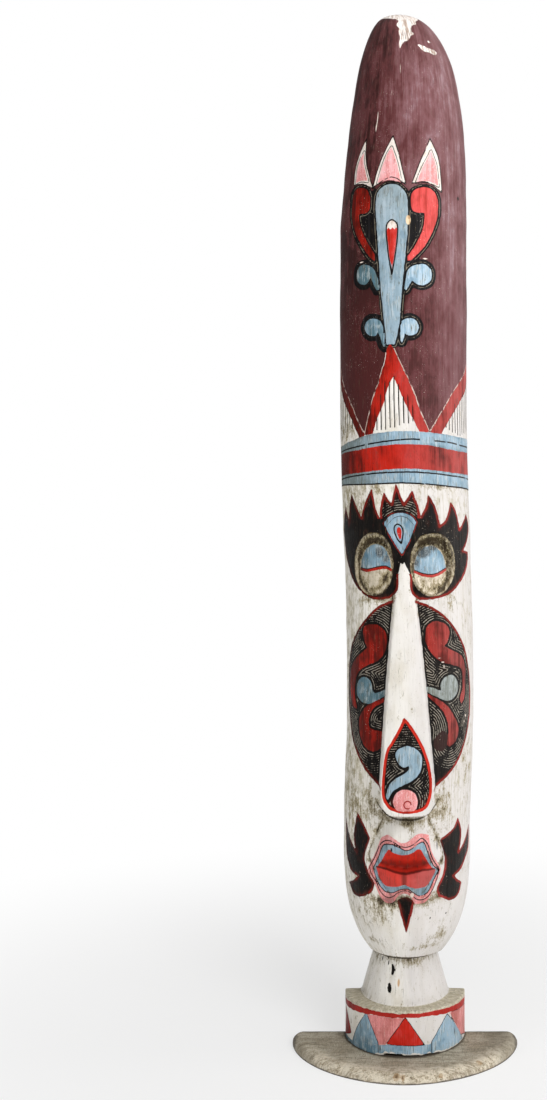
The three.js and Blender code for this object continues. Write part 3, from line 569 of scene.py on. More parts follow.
t_n, q_n, half_n = nose_frame(X, Z)
nose = np.where((Z < NOSE_TOP) & (Z > NOSE_LOW - 6) & is_log, (1.0 - np.abs(q_n)) * half_n, FAR)
nose_bottom = Z - (NOSE_LOW + 2.0)
nose = np.minimum(nose, nose_bottom)
muzzle = np.where(is_log, muzzle_inside(X, Z), FAR)
off_nose = -nose - 1.2
off_pad = -muzzle

band_top = height_of(CURVE["band_top"], S); band_bot = height_of(CURVE["band_bot"], S)
red_top = height_of(CURVE["band_redtop"], S); red_bot = height_of(CURVE["band_redbot"], S)
dash = height_of(CURVE["band_dash"], S); line2 = height_of(CURVE["band_line2"], S)
band = np.where(is_log, np.minimum(band_top - Z, Z - band_bot), FAR)
band_red = np.where(is_log, np.minimum(red_top - Z, Z - red_bot), FAR)

zig_red = union(F["zig_c_out"], F["zig_l_out"] + 0.9, F["zig_r_out"])
zig_white = union(F["zig_c_in"], F["zig_l_in"] - 0.9, F["zig_r_in"])
above_band = Z - band_top
zig_red = np.minimum(zig_red, above_band)
zig_white = np.minimum(zig_white, above_band)
plum = np.where(is_log, np.minimum(above_band, 60.0), FAR)
plum = np.minimum(plum, -zig_red)

# black of the face
sockets = union(F["sock_l"], F["sock_r"])
flames = union(F["brow_l"], F["brow_r"], F["fore_black"])
# the three meet in the V over the nose without a gap
brow_gap = 4.4 * smooth(884, 893, Z) * smooth(972, 957, Z) * smooth(50, 40, np.abs(S + 9))
flames = np.where(brow_gap > 0, union(flames, F["fore_tear"] + 1.5) + brow_gap, flames)
cheeks = F["oval"]
mouth_flames = union(F["fl_l"], F["fl_r"])
spike = F["spike"]
brow_v = np.where((Z < 962) & (np.abs(X + 8) < 44) & (Z > 868), 40.0, union(F["brow_l"], F["brow_r"], F["fore_black"]))
black_rim = union(brow_v, cheeks, mouth_flames, spike)
black = union(np.minimum(flames, -sockets), np.minimum(cheeks, off_nose),
              np.minimum(mouth_flames, off_pad + 1.0), np.minimum(spike, 1e3))
black = np.minimum(black, np.where(F["lip_out"] > -4, -F["lip_out"], 1e3))

scrolls = union(F["sc_ul"], F["sc_ur"], F["sc_ll"], F["sc_lr"])
commas = union(F["co_l"], F["co_r"])
scrolls = np.minimum(scrolls, off_nose)
commas = np.minimum(commas, off_nose)

head_scrolls = union(F["scroll_hl"], F["scroll_hr"])
curls = union(F["curl_ul"], F["curl_ur"], F["curl_ll"], F["curl_lr"])
curls = np.where(F["stalk"] > -3.2, FAR, curls)
flame = union(F["flame_mid"], F["flame_left"], F["flame_right"])
core = union(F["flame_mid_core"], F["flame_left_core"], F["flame_right_core"])
left_curls = union(F["curl_ul"], F["curl_ll"])
right_curls = union(F["curl_ur"], F["curl_lr"])
head_black = union(F["hblack_l"], F["hblack_r"], F["stalk"] + 5.8, left_curls + 9.0, right_curls + 8.6)
# the crown's flames stand on the black, which ends where they start
head_black = np.where(Z > 1560, np.minimum(head_black, -core), head_black)

# eyes
eye = np.full(S.shape, FAR); lid = np.full(S.shape, FAR)
for (sx, sz, sw, sh, bx, bz, bw, bh), name in zip(EYES, ("lid_l", "lid_r")):
    b = (1.0 - np.hypot((X - bx) / bw, (Z - bz) / bh)) * bw
    mine = b > -8
    eye = np.where(mine & is_log, b, eye)
    lid = np.where(mine, Z - height_of(CURVE[name], S), lid)
eye_blue = np.minimum(np.minimum(eye - 2.2, lid), 50)
eye_red = np.minimum(np.minimum(eye + 0.5, lid + 4.6), -lid + 0.8)

lip = F["lip_out"]

drop_top = 1470.0 + 2.0 * np.sin(S * 0.9)
drop_red = np.minimum(F["stalk_drop"] - 1.2, drop_top - Z)
red = union(zig_red - 0.0, band_red, drop_red, head_scrolls, F["fore_drop_red"], scrolls,
            eye_red, F["mouth_red"], F["d_red1"])
red = np.where((zig_red > -6) & (zig_white > -6) & (band_red < -4), np.minimum(zig_red, -zig_white), red)
stalk_blue = np.minimum(F["stalk"], -np.minimum(F["stalk_drop"], Z - drop_top + 0.6))
blue = union(np.minimum(band, 60), stalk_blue, curls, F["fore_tear"], commas, F["qmark"],
             eye_blue, F["lip_blue"], F["d_blue1"], F["d_blue2"])
pink = union(core, F["nball"], np.minimum(lip, 0.6 - F["lip_blue"]))
cream = union(flame, np.minimum(F["stalk_drop"], Z - drop_top + 0.6))
panel = F["npan"]
blob = np.minimum(F["blob_dk"], cheeks)

# drum: everything under the rim line and above the blue foot band
d_base = height_of(CURVE["d_base"], S)
d_rim = height_of(CURVE["d_rimlow"], S)
drum_foot = np.where(is_drum, d_base - Z, FAR)
blue = union(blue, np.minimum(drum_foot, 60))
shelf_r = np.array([p if k == "shelf" else 0.0 for k, p in levels])[:, None]
# the red line runs a little under the drum's worn top edge, lower towards the back
rim_top = 94.8 - 3.6 * smooth(60, 165, np.abs(S)) + 0.5 * wobble(S, Z * 0, 24, 30, 2)
rim_low = 87.2 - 7.0 * smooth(40, 150, np.abs(S)) + 0.7 * wobble(S, Z * 0, 25, 34, 2)
drum_line = np.where(is_drum, np.minimum(Z - rim_low, rim_top - Z), FAR)
drum_dark = union(F["d_sliver"], drum_line)
drum_tri = union(F["d_red1"], F["d_blue1"], F["d_blue2"])
for key in ("d_pink1", "d_pink2"):
    F[key] = np.minimum(np.minimum(F[key] + (9.0 if key == "d_pink1" else 2.6), -drum_line), -drum_tri)
    F[key] = np.where(is_drum, np.minimum(F[key], Z - d_base), FAR)
    pink = union(pink, F[key])

# incised lines are where these fields cross zero
trace = union(F["flame_mid"], F["flame_right"], F["flame_left"], F["fore_drop"])
trace = union(trace, np.minimum(F["lip_line"], -F["lip_blue"]))
trace_in = union(core + 2.3, F["stalk_drop"], F["fore_tear"])
arc_top = np.interp(S, (-40.3, -32.5, -21.5, -9.9, 2.2, 11.6, 17.1), (954.3, 965.6, 971.5, 973.2, 970.9, 964.4, 956.1))
arc = np.where(F["fore_tear"] > 0.5, arc_top - 6.0 - 0.012 * (S + 10) ** 2 - Z, 40.0)
# the brow's tear has its line only over the top
trace_in = np.where((F["fore_tear"] > -9) & (F["fore_drop"] < -9) & (Z < 955), FAR, trace_in)
low_z = np.maximum(Z, d_base + 5.0)
for key in ("d_blue1", "d_blue2"):           # open below, where they run into the foot's band
    trace_in = union(trace_in, np.where(is_drum, inside(MOTIF[key], S, low_z), FAR))
trace_in = union(trace_in, F["d_red1"])
pink_side = np.where(is_drum & (S > 100) & (Z > d_base), F["d_pink2"], FAR)
trace_in = union(trace_in, pink_side)
trace_in = union(trace_in, F["qmark"] + 1.2, np.where(F["d_sliver"] > -30, F["d_sliver"], FAR))
band_lines = np.where(is_log, union(np.minimum(dash - Z, Z - line2), np.minimum(band_bot - Z, 9.0)), FAR)
dash_gap = (is_log & (np.abs(Z - dash) < 12)) * union(
    smooth(27, 30, S) * smooth(58, 54, S), smooth(-75, -73, S) * smooth(-67, -69, S), smooth(110, 112, S) * smooth(120, 118, S))
lid_line = np.where(eye > 1.0, lid - 0.9, FAR)
curl_ball = 6.4 - np.hypot(X - 4.2, Z - 469.5)

# cream hairlines beside the black of the headdress
hair = union(head_scrolls, F["stalk"], right_curls) + 3.5
hair = np.where(union(head_scrolls, F["stalk"], curls) > -1.4, 40.0, hair)

# hatching: rings that follow the scrolls in the ovals, the ball and comma of the nose, and the brow's tear
ring = np.full(S.shape, FAR)
in_oval = np.minimum(cheeks, off_nose)
round_scrolls = -union(F["sc_ul"], F["sc_ur"], F["sc_ll"], F["sc_lr"], F["co_l"], F["co_r"])
ring = np.where(in_oval > 0, np.minimum(round_scrolls, 60.0), ring)
across = (Z - 540.0) + 0.10 * np.abs(X - 3)
ring = np.where(panel > 3, np.where(Z > 536, across, -union(F["qmark"], F["nball"])), ring)
ring = np.where((F["fore_black"] > 2) & (Z > 966), -F["fore_tear"], ring)
ring_on = union(np.minimum(in_oval - 2.6, round_scrolls - 2.2),
                np.minimum(panel - 5.5, -union(F["qmark"], F["nball"]) - 2.2),
                np.where((Z > 966) & (F["fore_tear"] > -24), np.minimum(F["fore_black"] - 3.0, -F["fore_tear"] - 2.0), FAR))

# ---------------------------------------------------------------------- carving depth
out = np.where(is_log & (Z < FACE_TOP + 5), relief(X, Z) * smooth(0, 0.35, COS)[None, :], 0.0)
big = out.copy()
carve = np.zeros(S.shape)
for field in (trace, trace_in, band_lines, lid_line, curl_ball):
    carve -= 0.9 * smooth(2.0, 0.3, np.abs(field)) * is_log
carve += 0.5 * smooth(2.0, 0.3, np.abs(trace_in)) * is_drum * 0
carve -= 1.3 * smooth(-1.2, 1.6, np.minimum(cheeks, off_nose)) * is_log          # ovals sunk a little
carve += 1.1 * smooth(-0.8, 1.8, union(scrolls, commas))
carve -= 1.0 * smooth(-1.2, 1.2, np.minimum(flames, -sockets))
carve -= 1.0 * smooth(-1.2, 1.2, np.minimum(mouth_flames, off_pad))
carve -= 0.9 * smooth(-1, 1, spike)
carve -= 1.6 * smooth(-1.0, 1.2, panel)
carve += 1.3 * smooth(-0.8, 1.4, union(F["qmark"], F["nball"]))
carve -= 1.5 * smooth(-1.4, 1.2, head_black) * smooth(1, -0.6, union(head_scrolls, F["stalk"], curls))
carve -= 0.8 * smooth(1.2, 0.1, np.abs(flame)) * (flame > -4)
carve -= 0.7 * smooth(-1, 1, band_red)
carve -= 0.8 * smooth(1.8, 0.2, np.abs(band)) * (np.abs(band) < 4)
carve += 0.9 * smooth(-0.6, 1.2, F["fore_tear"])
carve += 0.8 * smooth(-1, 1.5, lip) * smooth(4, -1, F["lip_blue"])
carve -= is_log * 1.6 * smooth(4.0, 0.0, np.abs(muzzle + 1.0)) * smooth(296, 306, Z) * smooth(440, 430, Z)
# upright grooves of the white triangles
GROOVE_PITCH = 8.1
swing = 0.45 * np.sin(Z / 37.0) + 0.15 * np.sin(Z / 13.0 + S / 21.0)
phase = (S + swing) / GROOVE_PITCH
to_groove = np.abs(phase - np.round(phase)) * GROOVE_PITCH
which = np.round(phase)
length = 4 + 16 * (0.5 + 0.5 * np.sin(which * 12.9))
past = 1.5 + 8.0 * (0.5 + 0.5 * np.sin(which * 7.3)) * (which % 3 != 0)
deep_groove = smooth(-1.5, 0.5, zig_white + past) * (Z > band_top + length) * smooth(0.0, 2.0, zig_red)
groove_on = np.where(is_log, deep_groove, 0.0)
carve -= 1.2 * smooth(2.2, 0.3, to_groove) * groove_on
X = X + is_log * SIN[None, :] * 0.7 * wobble(S * 0, Z, 41, 150, 3)
# hand-cut unevenness
carve += is_log * (0.9 * wobble(S, Z * 0.45, 11, 95, 3) + 0.25 * wobble(S, Z * 0.2, 12, 14, 2))
carve += is_neck * (0.7 * wobble(S, Z, 13, 60, 3)) + is_drum * (0.6 * wobble(S, Z, 14, 70, 3))
# the drum's foot: a broken gap over the plank
foot_gap = smooth(-48, -34, S) * smooth(74, 58, S) * (2.6 + 1.4 * wobble(S, Z * 0, 21, 26, 3)) \
    + 2.2 * smooth(0.35, 0.7, wobble(S, Z * 0, 22, 30, 3))
foot = is_drum * smooth(DRUM_LOW + foot_gap + 0.9, DRUM_LOW + foot_gap - 0.5, Z)
carve -= 7.0 * foot * smooth(0, 0.2, COS)
# chips out of the neck
CHIPS = ((-43.0, 159.0, 8.4, 9.8, 3.4), (-47.0, 126.5, 5.8, 7.2, 3.0), (30.0, 108.0, 5.0, 3.0, 0.8))
for cs, cz, cw, ch, cd in CHIPS:
    r = np.hypot((S + 0.25 * (Z - cz) - cs) / cw, (Z - cz) / ch)
    carve -= is_neck * cd * smooth(1.1, 0.6, r)
# broken top
chip = F["top_chip"]
carve -= 2.6 * smooth(-0.8, 2.2, chip) * (1 + 0.4 * wobble(S, Z, 31, 16, 3))
fade = smooth(0.0, 0.22, COS)[None, :]
total = out + carve * fade
TOP_CLIP = smooth(DOME_TOP, DOME_TOP - 40, Z)
Y = BACK - DEEP - np.where(is_log, total * TOP_CLIP, 0)
radial = np.isin(KIND, ("drum", "rim", "neck", "fillet", "chin"))[:, None]
X = X + np.where(radial, carve * fade * SIN[None, :], 0)
Y = Y - np.where(radial, carve * fade * COS[None, :], 0)

# ------------------------------------------------------------------------- grime and painted shade
def blur(a, n_rows, n_cols):
    for axis, n in ((0, n_rows), (1, n_cols)):
        for _ in range(3):
            pad = [(n, n) if k == axis else (0, 0) for k in (0, 1)]
            b = np.pad(a, pad, mode="edge")
            c = np.cumsum(b, axis=axis)
            c = np.insert(c, 0, 0, axis=axis)
            w = 2 * n + 1
            a = (np.take(c, range(w, c.shape[axis]), axis=axis) - np.take(c, range(0, c.shape[axis] - w), axis=axis)) / w
    return a


# painted shade: darker where the carving is hollow, measured from the blurred relief
hollow = blur(big, 3, 2) - big
wide = blur(big, 9, 6) - big
hollow_shade_and_stains = 0.45 * np.clip(hollow / 2.0, -0.8, 1.2) + 0.35 * np.clip(wide / 6.0, -0.8, 1.0)
hollow_shade_and_stains = np.where(is_log, hollow_shade_and_stains, 0.0)
hollow_shade_and_stains = hollow_shade_and_stains * mix(1.0, 0.35, smooth(462, 450, Z) * smooth(425, 436, Z) * smooth(75, 55, np.abs(X - 5)))
hollow_shade_and_stains = hollow_shade_and_stains * smooth(-2.0, 3.0, np.abs(nose + 2.0)) * np.where((nose > -14) & (Z > 470), 0.25, 1.0)
# x, z, half-width, half-height and strength of each dark patch, mm: stains, some of them painted shade in creases such
# as on the nose's lower ledge
STAINS = (
    (-32, 858, 10, 22, 1.25), (-44, 838, 22, 6, 0.8), (-55, 862, 24, 20, 0.35), (45, 850, 26, 16, 0.30), (-72, 850, 10, 30, 0.75), (-60, 915, 22, 14, 0.55), (-40, 826, 26, 8, 0.60),
    (38, 836, 30, 9, 1.10), (77, 880, 8, 34, 0.60), (46, 926, 34, 9, 0.75), (61, 852, 7, 22, 0.70), (14, 880, 5, 30, 0.5),
    (-19, 880, 5, 36, 0.6), (9, 422, 16, 15, 0.92), (14, 406, 8, 12, 0.6), (5, 436, 50, 5, 0.30), (-42, 443, 18, 9, 0.60), (52, 443, 18, 9, 0.60),
    (-84, 446, 22, 30, 0.50), (-62, 458, 9, 26, 0.48), (73, 446, 15, 36, 0.50), (60, 470, 8, 26, 0.42),
    (-30, 291, 26, 9, 1.15), (-46, 268, 24, 26, 0.62), (62, 298, 20, 10, 1.05), (34, 290, 12, 8, 0.8),
    (44, 222, 22, 13, 0.60), (66, 236, 12, 16, 0.45), (-82, 292, 24, 44, 0.42), (-58, 214, 10, 10, 0.5),
    (-53, 1014, 20, 10, 0.85), (-100, 1004, 14, 26, 0.55), (61, 1019, 26, 6, 1.1), (20, 1021, 20, 4, 0.7),
    (-79, 985, 12, 32, 0.55), (-52, 820, 24, 11, 0.75), (79, 822, 10, 22, 0.70), (-94, 490, 16, 84, 0.50),
    (110, 545, 10, 84, 0.50), (-104, 1128, 24, 26, 0.75), (-99, 640, 8, 90, 0.25), (-104, 720, 8, 70, 0.35),
    (-58, 357, 7, 6, 0.8), (62, 357, 7, 6, 0.7), (-30, 502, 12, 7, 0.55), (34, 503, 14, 7, 0.45), (34, 205, 32, 5, 0.80), (-40, 212, 18, 7, 0.60), (66, 222, 8, 12, 0.6), (-12, 447, 34, 4.2, 0.75), (34, 449, 20, 4.2, 0.55))
for sx_, sz_, rx_, rz_, k_ in STAINS:
    hollow_shade_and_stains += is_log * k_ * np.exp(-(((X - sx_) / rx_) ** 2) - (((Z - sz_) / rz_) ** 2))
beside = np.abs(X - 3.5)
# a painted shadow line under the ledge at the foot of the nose
ledge_shadow_line = Z - (436.4 + 34.0 * (np.minimum(beside, 60.0) / 57.0) ** 3.4)
ledge_shadow_on = is_log * smooth(59, 50, beside) * (Z > 420) * (Z < 500)
# a painted shade line along the muzzle pad's edge
pad_shade_line = muzzle + 0.6
pad_shade_on = is_log * smooth(298, 308, Z) * smooth(440, 430, Z)
# painted shade along the foot of the nose
hollow_shade_and_stains += is_log * 0.60 * np.exp(-((nose - 1.0) / 2.6) ** 2) * smooth(500, 480, Z)
# painted shade along the edge of the muzzle pad
pad_edge = np.exp(-((muzzle + 0.5) / 2.4) ** 2) * smooth(296, 306, Z) * smooth(438, 428, Z)
hollow_shade_and_stains += is_log * 0.46 * pad_edge
# painted shade in the eye sockets, strongest at their tops under the brow
in_socket = np.minimum(sockets, -eye)
hollow_shade_and_stains += is_log * (0.20 + 0.50 * smooth(898, 934, Z)) * smooth(-1, 3, in_socket) * (sockets > -2)
# painted shade beside the bridge of the nose
bridge_shade = np.exp(-((nose + 1.0) / 2.6) ** 2) * smooth(784, 800, Z) * smooth(892, 876, Z)
hollow_shade_and_stains += is_log * 0.85 * bridge_shade
# painted shade under the chin, on its underside, and at the neck's top and foot
hollow_shade_and_stains += 0.8 * smooth(190, 182, Z) * is_log                     # under the chin
hollow_shade_and_stains += 1.2 * np.isin(KIND, ("chin",))[:, None]
hollow_shade_and_stains += is_neck * (0.22 * smooth(106, 99, Z) + 0.60 * smooth(164, 177, Z) + 0.02)
hollow_shade_and_stains += is_neck * (0.62 * np.exp(-(((X - 12) / 26) ** 2) - (((Z - 170) / 11) ** 2)) + 0.4 * np.exp(-(((X + 50) / 10) ** 2) - (((Z - 165) / 16) ** 2)))
hollow_shade_and_stains += is_shelf * 0.5
# darker toward the left of the face and on the low left jaw: grime, and painted shade on the side away from the key
# light
left_side = smooth(20, -150, S)

# colour, wear, painted sheen and painted shade that change slowly over the surface, one number per vertex
left_side = smooth(-10, -150, S)
right_side = smooth(30, 165, S)
high = smooth(1300, 1560, Z)
# fading of the plum with a painted sheen: paler toward the middle and right of the crown and at its upper right, darker
# low on the crown
fade = 0.18 + 0.42 * smooth(-75, 5, S) + 0.20 * smooth(10, 110, S) - 0.18 * smooth(120, 165, S)
fade = fade - 0.30 * (1 - high) * smooth(100, 40, np.abs(S + 5)) - 0.10 * (1 - high) - 0.18 * smooth(1260, 1140, Z)
fade = fade - 0.10 * smooth(1740, 1870, Z) + 0.20 * np.exp(-(((S - 25) / 50) ** 2) - (((Z - 1700) / 70) ** 2))
fade = fade - 0.30 * (1 - high) * smooth(-60, -110, S)
fade = np.where(is_log, 0.03 + 0.84 * fade, 0.4)
reddish = is_log * smooth(1450, 1250, Z) * (0.75 + 0.25 * smooth(0, -60, S))
# how strongly a coat is darkened (-) or cleaner and brighter (+) than its middle colour: the variation of each shape,
# and painted shade that darkens coats toward the left and the reds on the lit right
tone_and_shade = -0.80 + 0.90 * smooth(-150, -30, S) + 0.20 * smooth(20, 150, S)
tone_and_shade = np.where((zig_red > -3), tone_and_shade - 0.22 * smooth(10, -45, S), tone_and_shade)
tone_and_shade = np.where((zig_red > -3) | (band_red > -3), tone_and_shade - 0.30 * smooth(10, 70, S), tone_and_shade)
tone_and_shade = np.where((zig_red > -3), tone_and_shade - 0.30 * smooth(-55, -105, S), tone_and_shade)
tone_and_shade = np.where(is_drum, 0.45 * smooth(-120, 20, S) - 0.20, tone_and_shade)
tone_and_shade = np.where((F["scroll_hr"] > -3), 0.62, tone_and_shade)
tone_and_shade = np.where((F["scroll_hl"] > -3), -0.48, tone_and_shade)
tone_and_shade = np.where((F["sc_ur"] > -3) | (F["sc_lr"] > -3), -0.25, tone_and_shade)
tone_and_shade = np.where((F["sc_ul"] > -3) | (F["sc_ll"] > -3), -0.50, tone_and_shade)
tone_and_shade = np.where((F["curl_ul"] > -3) | (F["co_l"] > -3), -0.75, tone_and_shade)
tone_and_shade = np.where((F["curl_ll"] > -3) | (F["co_r"] > -3), -0.35, tone_and_shade)
tone_and_shade = np.where((F["curl_ur"] > -3) | (F["curl_lr"] > -3), 0.50, tone_and_shade)
tone_and_shade = np.where(F["stalk"] > -3, 0.30, tone_and_shade)
tone_and_shade = np.where(core > -6, 0.52, tone_and_shade)
tone_and_shade = np.where(F["nball"] > -3, 0.30, tone_and_shade)
tone_and_shade = np.where((F["d_pink1"] > -1) | (F["d_pink2"] > -1), -0.24, tone_and_shade)
up_, down_, _ = mouth_frame(X, Z)
# painted shade deep in the mouth, strongest toward the line between the lips
mouth_shade = np.where(F["mouth_red"] > -4, smooth(0.30, 1.0, up_) + 0.75 * smooth(0.62, 1.0, down_), 0.0)
lower_lip = np.where(F["mouth_red"] > -4, smooth(0.5, -2.0, Z - height_of(CURVE["mouth_line"], S)), 0.0)
tone_and_shade = np.where(F["lip_blue"] > -3, -0.10 + 0.35 * smooth(345, 325, Z) * smooth(0, -40, S) - 0.25 * smooth(360, 380, Z) * smooth(0, -40, S), tone_and_shade)
tone_and_shade = np.where(np.isin(KIND, ("neck", "fillet", "chin"))[:, None], 0.4, tone_and_shade)

# dirt and painted shade: heavier to the left, under the band and at the sides of the face, lighter on the nose and chin
dirt_and_side_shade = 0.25 + 0.5 * left_side + 0.1 * right_side
dirt_and_side_shade = dirt_and_side_shade + 0.45 * is_log * smooth(900, 985, Z) * (Z < band_bot)
dirt_and_side_shade = dirt_and_side_shade + 0.35 * is_log * np.exp(-(((Z - 790) / 60) ** 2)) * smooth(40, 70, np.abs(X - 4))
dirt_and_side_shade = dirt_and_side_shade + 0.45 * is_log * np.exp(-(((Z - 500) / 90) ** 2)) * smooth(60, 80, np.abs(X - 4))
dirt_and_side_shade = dirt_and_side_shade - 0.35 * is_log * (nose > -4) * smooth(470, 520, Z)
dirt_and_side_shade = dirt_and_side_shade - 0.25 * is_log * np.exp(-(((Z - 225) / 45) ** 2)) * np.exp(-(((X - 20) / 55) ** 2))
dirt_and_side_shade = np.where(is_neck, 0.12 + 0.3 * left_side, dirt_and_side_shade)
dirt_and_side_shade = np.where(is_shelf, 0.9, dirt_and_side_shade)
dirt_and_side_shade = np.where(is_drum, 0.2, dirt_and_side_shade)

# greyed blue: the stalk, and the nose-side commas of the ovals
grey = np.where(F["stalk"] > -3, 0.22 + 0.24 * smooth(1450, 1530, Z), 0.0)
grey = np.where(F["co_r"] > -3, 0.85, grey)
grey = np.where((band > -3) & is_log, 0.40 * smooth(-20, -90, S) + 0.05, grey)
grey = np.where((F["npan"] > -3) | (F["lip_blue"] > -3), 0.16, grey)
calm = np.where(is_drum | (F["mouth_red"] > -4), 1.0, 0.0)
calm = np.where(band_red > -3, 0.55, calm)
# a painted sheen: a pale reflection painted on the side turned to the light
shine = is_log * (0.62 * smooth(25, 95, S) + 0.20 * smooth(95, 160, S)) + is_drum * 0.5 * smooth(20, 110, S)
# painted shade in the dip between the lower lip's two lobes
split = (1.0 - np.hypot((X + 1.5) / 4.2, (Z - 334) / 14.0)) * 4.0
split = np.where(F["mouth_red"] > -3, split, FAR)
# where hands and knocks took the paint off the upper lids
rub = np.full(S.shape, -9.0)
for rx_, rz_, ra_, rb_ in ((-44, 904, 11, 10.5), (31, 904, 16, 11.5), (20, 886, 7, 10), (-34, 893, 7, 9), (48, 912, 12, 6)):
    rub = np.maximum(rub, (1.0 - np.hypot((X - rx_) / ra_, (Z - rz_) / rb_)) * ra_)
rub = np.where((eye > -2) & (lid > 0), rub, FAR)
sock_rim = np.where(is_log, np.minimum(sockets + 1.2, -eye + 1.4), FAR)
neck_chip = np.zeros(S.shape)
for cs, cz, cw, ch, cd in CHIPS[:2]:
    a_, b_ = (S + 0.25 * (Z - cz) - cs) / cw, (Z - cz) / ch
    wedge = 0.30 + np.maximum(0.76 * np.abs(b_ + 0.12) + 0.56 * np.maximum(a_, 0.0), -1.3 * a_)
    r = (wedge if cz > 140 else np.hypot(a_ * 0.95, b_ * 0.9)) + 0.16 * wobble(S, Z, 33, 9, 2)
    neck_chip = np.maximum(neck_chip, is_neck * (1.4 - r))
ochre = is_neck * np.exp(-(((S + 19.4) / 4.2) ** 2) - (((Z - 137) / 8) ** 2))
chips = union(F["top_chip"], F["scrape1"] - 0.5, F["scrape2"] - 0.5)
# painted shade in the broken gap at the drum's foot
foot_gap_shade = np.where(is_drum, (DRUM_LOW + foot_gap + 0.4) - Z, FAR)
foot_light = np.where(is_drum, 3.0 + 2.4 * wobble(S, Z * 0, 61, 22, 3) + DRUM_LOW + foot_gap - Z, FAR)
foot_light = np.where(S < -58, -6.0, foot_light)
curl_on = 1.0 * ~((X > 7) & (Z < 470) & (Z > 462))
# short cuts in the paint: s, z, half-width, half-height, and whether they show pale wood
NICKS = ((-13.8, 1760, 1.0, 12, 1), (-57, 1672, 0.9, 12, 1), (-60, 1655, 0.8, 8, 1), (-30, 1715, 0.7, 6, 1), (18, 1795, 3, 1.6, 1),
         (-80, 1418, 5.5, 1.6, 1), (39, 1418, 5.5, 1.6, 1), (116.6, 1541, 3.2, 4.0, 0), (66, 1290, 0.8, 10, 1),
         (108.5, 46, 1.0, 8, 0), (113, 48, 0.9, 6, 0), (92, 36, 1.0, 6, 0), (-48, 30, 1.1, 6, 0), (-84, 62, 1.6, 1.6, 0),
         (-70, 50, 1.5, 1.6, 0), (-56, 70, 1.2, 1.2, 0), (-44, 68, 1.2, 1.2, 0), (-27.5, 387, 1.5, 4.5, 0),
         (55, 388, 1.0, 10, 0), (-22, 396, 1.4, 3.0, 0), (5, 470, 0.9, 2.0, 0), (82, 262, 2.2, 2.0, 0), (46, 258, 1.6, 2.0, 0),
         (-88, 172, 2.3, 5.0, 0), (-62, 178, 2.2, 4.6, 0), (-59, 168, 2.2, 4.4, 0), (-66, 215, 1.0, 5.0, 0), (12, 880, 1.0, 3, 1), (53, 717, 4.6, 1.2, 1), (60, 710, 3.6, 1.2, 1), (63, 702, 1.3, 4.4, 1), (9, 303, 3.4, 6.2, 1), (118, 612, 2.6, 2.2, 1), (114, 602, 1.8, 1.6, 1))


def nicks(pale):
    best = np.full(S.shape, -9.0)
    for cs, cz, cw, ch, kind in NICKS:
        if kind == pale:
            r = np.hypot((S - cs) / cw, (Z - cz) / ch)
            best = np.maximum(best, (1.0 - r) * min(cw, ch))
    return best


# painted shadow in the slit between the lips
mouth_line = Z - height_of(CURVE["mouth_line"], S)
mouth_line = np.where(F["mouth_red"] > -3, mouth_line, 40.0)

FIELDS = {
    "p_plum": plum, "p_zig": zig_red, "p_zigw": zig_white, "p_groove": groove_on, "p_above": above_band,
    "p_red": red, "p_blue": blue, "p_pink": pink, "p_cream": cream, "p_hblack": head_black,
    "p_black": black, "p_rim": black_rim, "p_panel": panel, "p_blob": blob, "p_ring": ring, "p_ringon": ring_on,
    "p_trace": trace, "p_trace2": trace_in, "p_bands": band_lines, "p_gap": dash_gap, "p_lid": lid_line,
    "p_curl": np.where(F["nball"] > 0.5, curl_ball, FAR), "p_hair": hair, "p_chips": chips,
    "p_eye": eye, "p_curlon": curl_on, "p_grey": grey, "p_calm": calm, "p_shine": shine, "p_lip_notch_shade": split,
    "p_rub": rub, "p_sock": sock_rim, "p_low": reddish, "p_mouth_shade": mouth_shade, "p_mouthin": F["mouth_red"],
    "p_drop": union(F["fore_drop"], F["stalk_drop"]), "p_tear": np.where(Z < 974, F["fore_tear"], FAR),
    "p_tan": np.maximum((1.0 - np.hypot((S - 8.5) / 4.6, (Z - 1485) / 8.5)) * 4.6, -9.0),
    "p_side_shade": smooth(-25, 25, S), "p_quiet": smooth(-9, -3, muzzle) * is_log, "p_arc": arc, "p_ledge_shadow": ledge_shadow_line, "p_pad": pad_shade_line, "p_ledge_shadow_on": ledge_shadow_on, "p_padon": pad_shade_on, "p_nick": nicks(0), "p_nickpale": nicks(1), "p_dark": drum_dark, "p_fade": fade, "p_tone_shade": tone_and_shade, "p_dirt_side_shade": dirt_and_side_shade, "p_hollow_shade_stains": hollow_shade_and_stains,
    "p_neckchip": neck_chip, "p_ochre": ochre, "p_foot_gap_shade": foot_gap_shade, "p_footl": foot_light,
    "p_mouth_slit_shadow": mouth_line, "p_lower": lower_lip, "p_bandred": band_red, "p_under": band_bot - Z,
    "p_shelf": np.where(is_drum, smooth(-0.2, 0.6, Z - rim_top), is_shelf * 1.0), "p_drum": is_drum * 1.0,
}

# ------------------------------------------------------------------- building the mesh
BACK_COLS = 8


def back_profile(x0, x1, z0, z1):
    """The points of one row of the flat back between its two edges, a little uneven from the saw."""
    t = np.linspace(0, 1, BACK_COLS + 1)[1:-1]
    x, z = mix(x0, x1, t), mix(z0, z1, t)
    dip = 0.9 * np.abs(wobble(x, z, 71, 210, 3)) * np.sin(math.pi * t) ** 0.5
    return x, BACK - dip, z


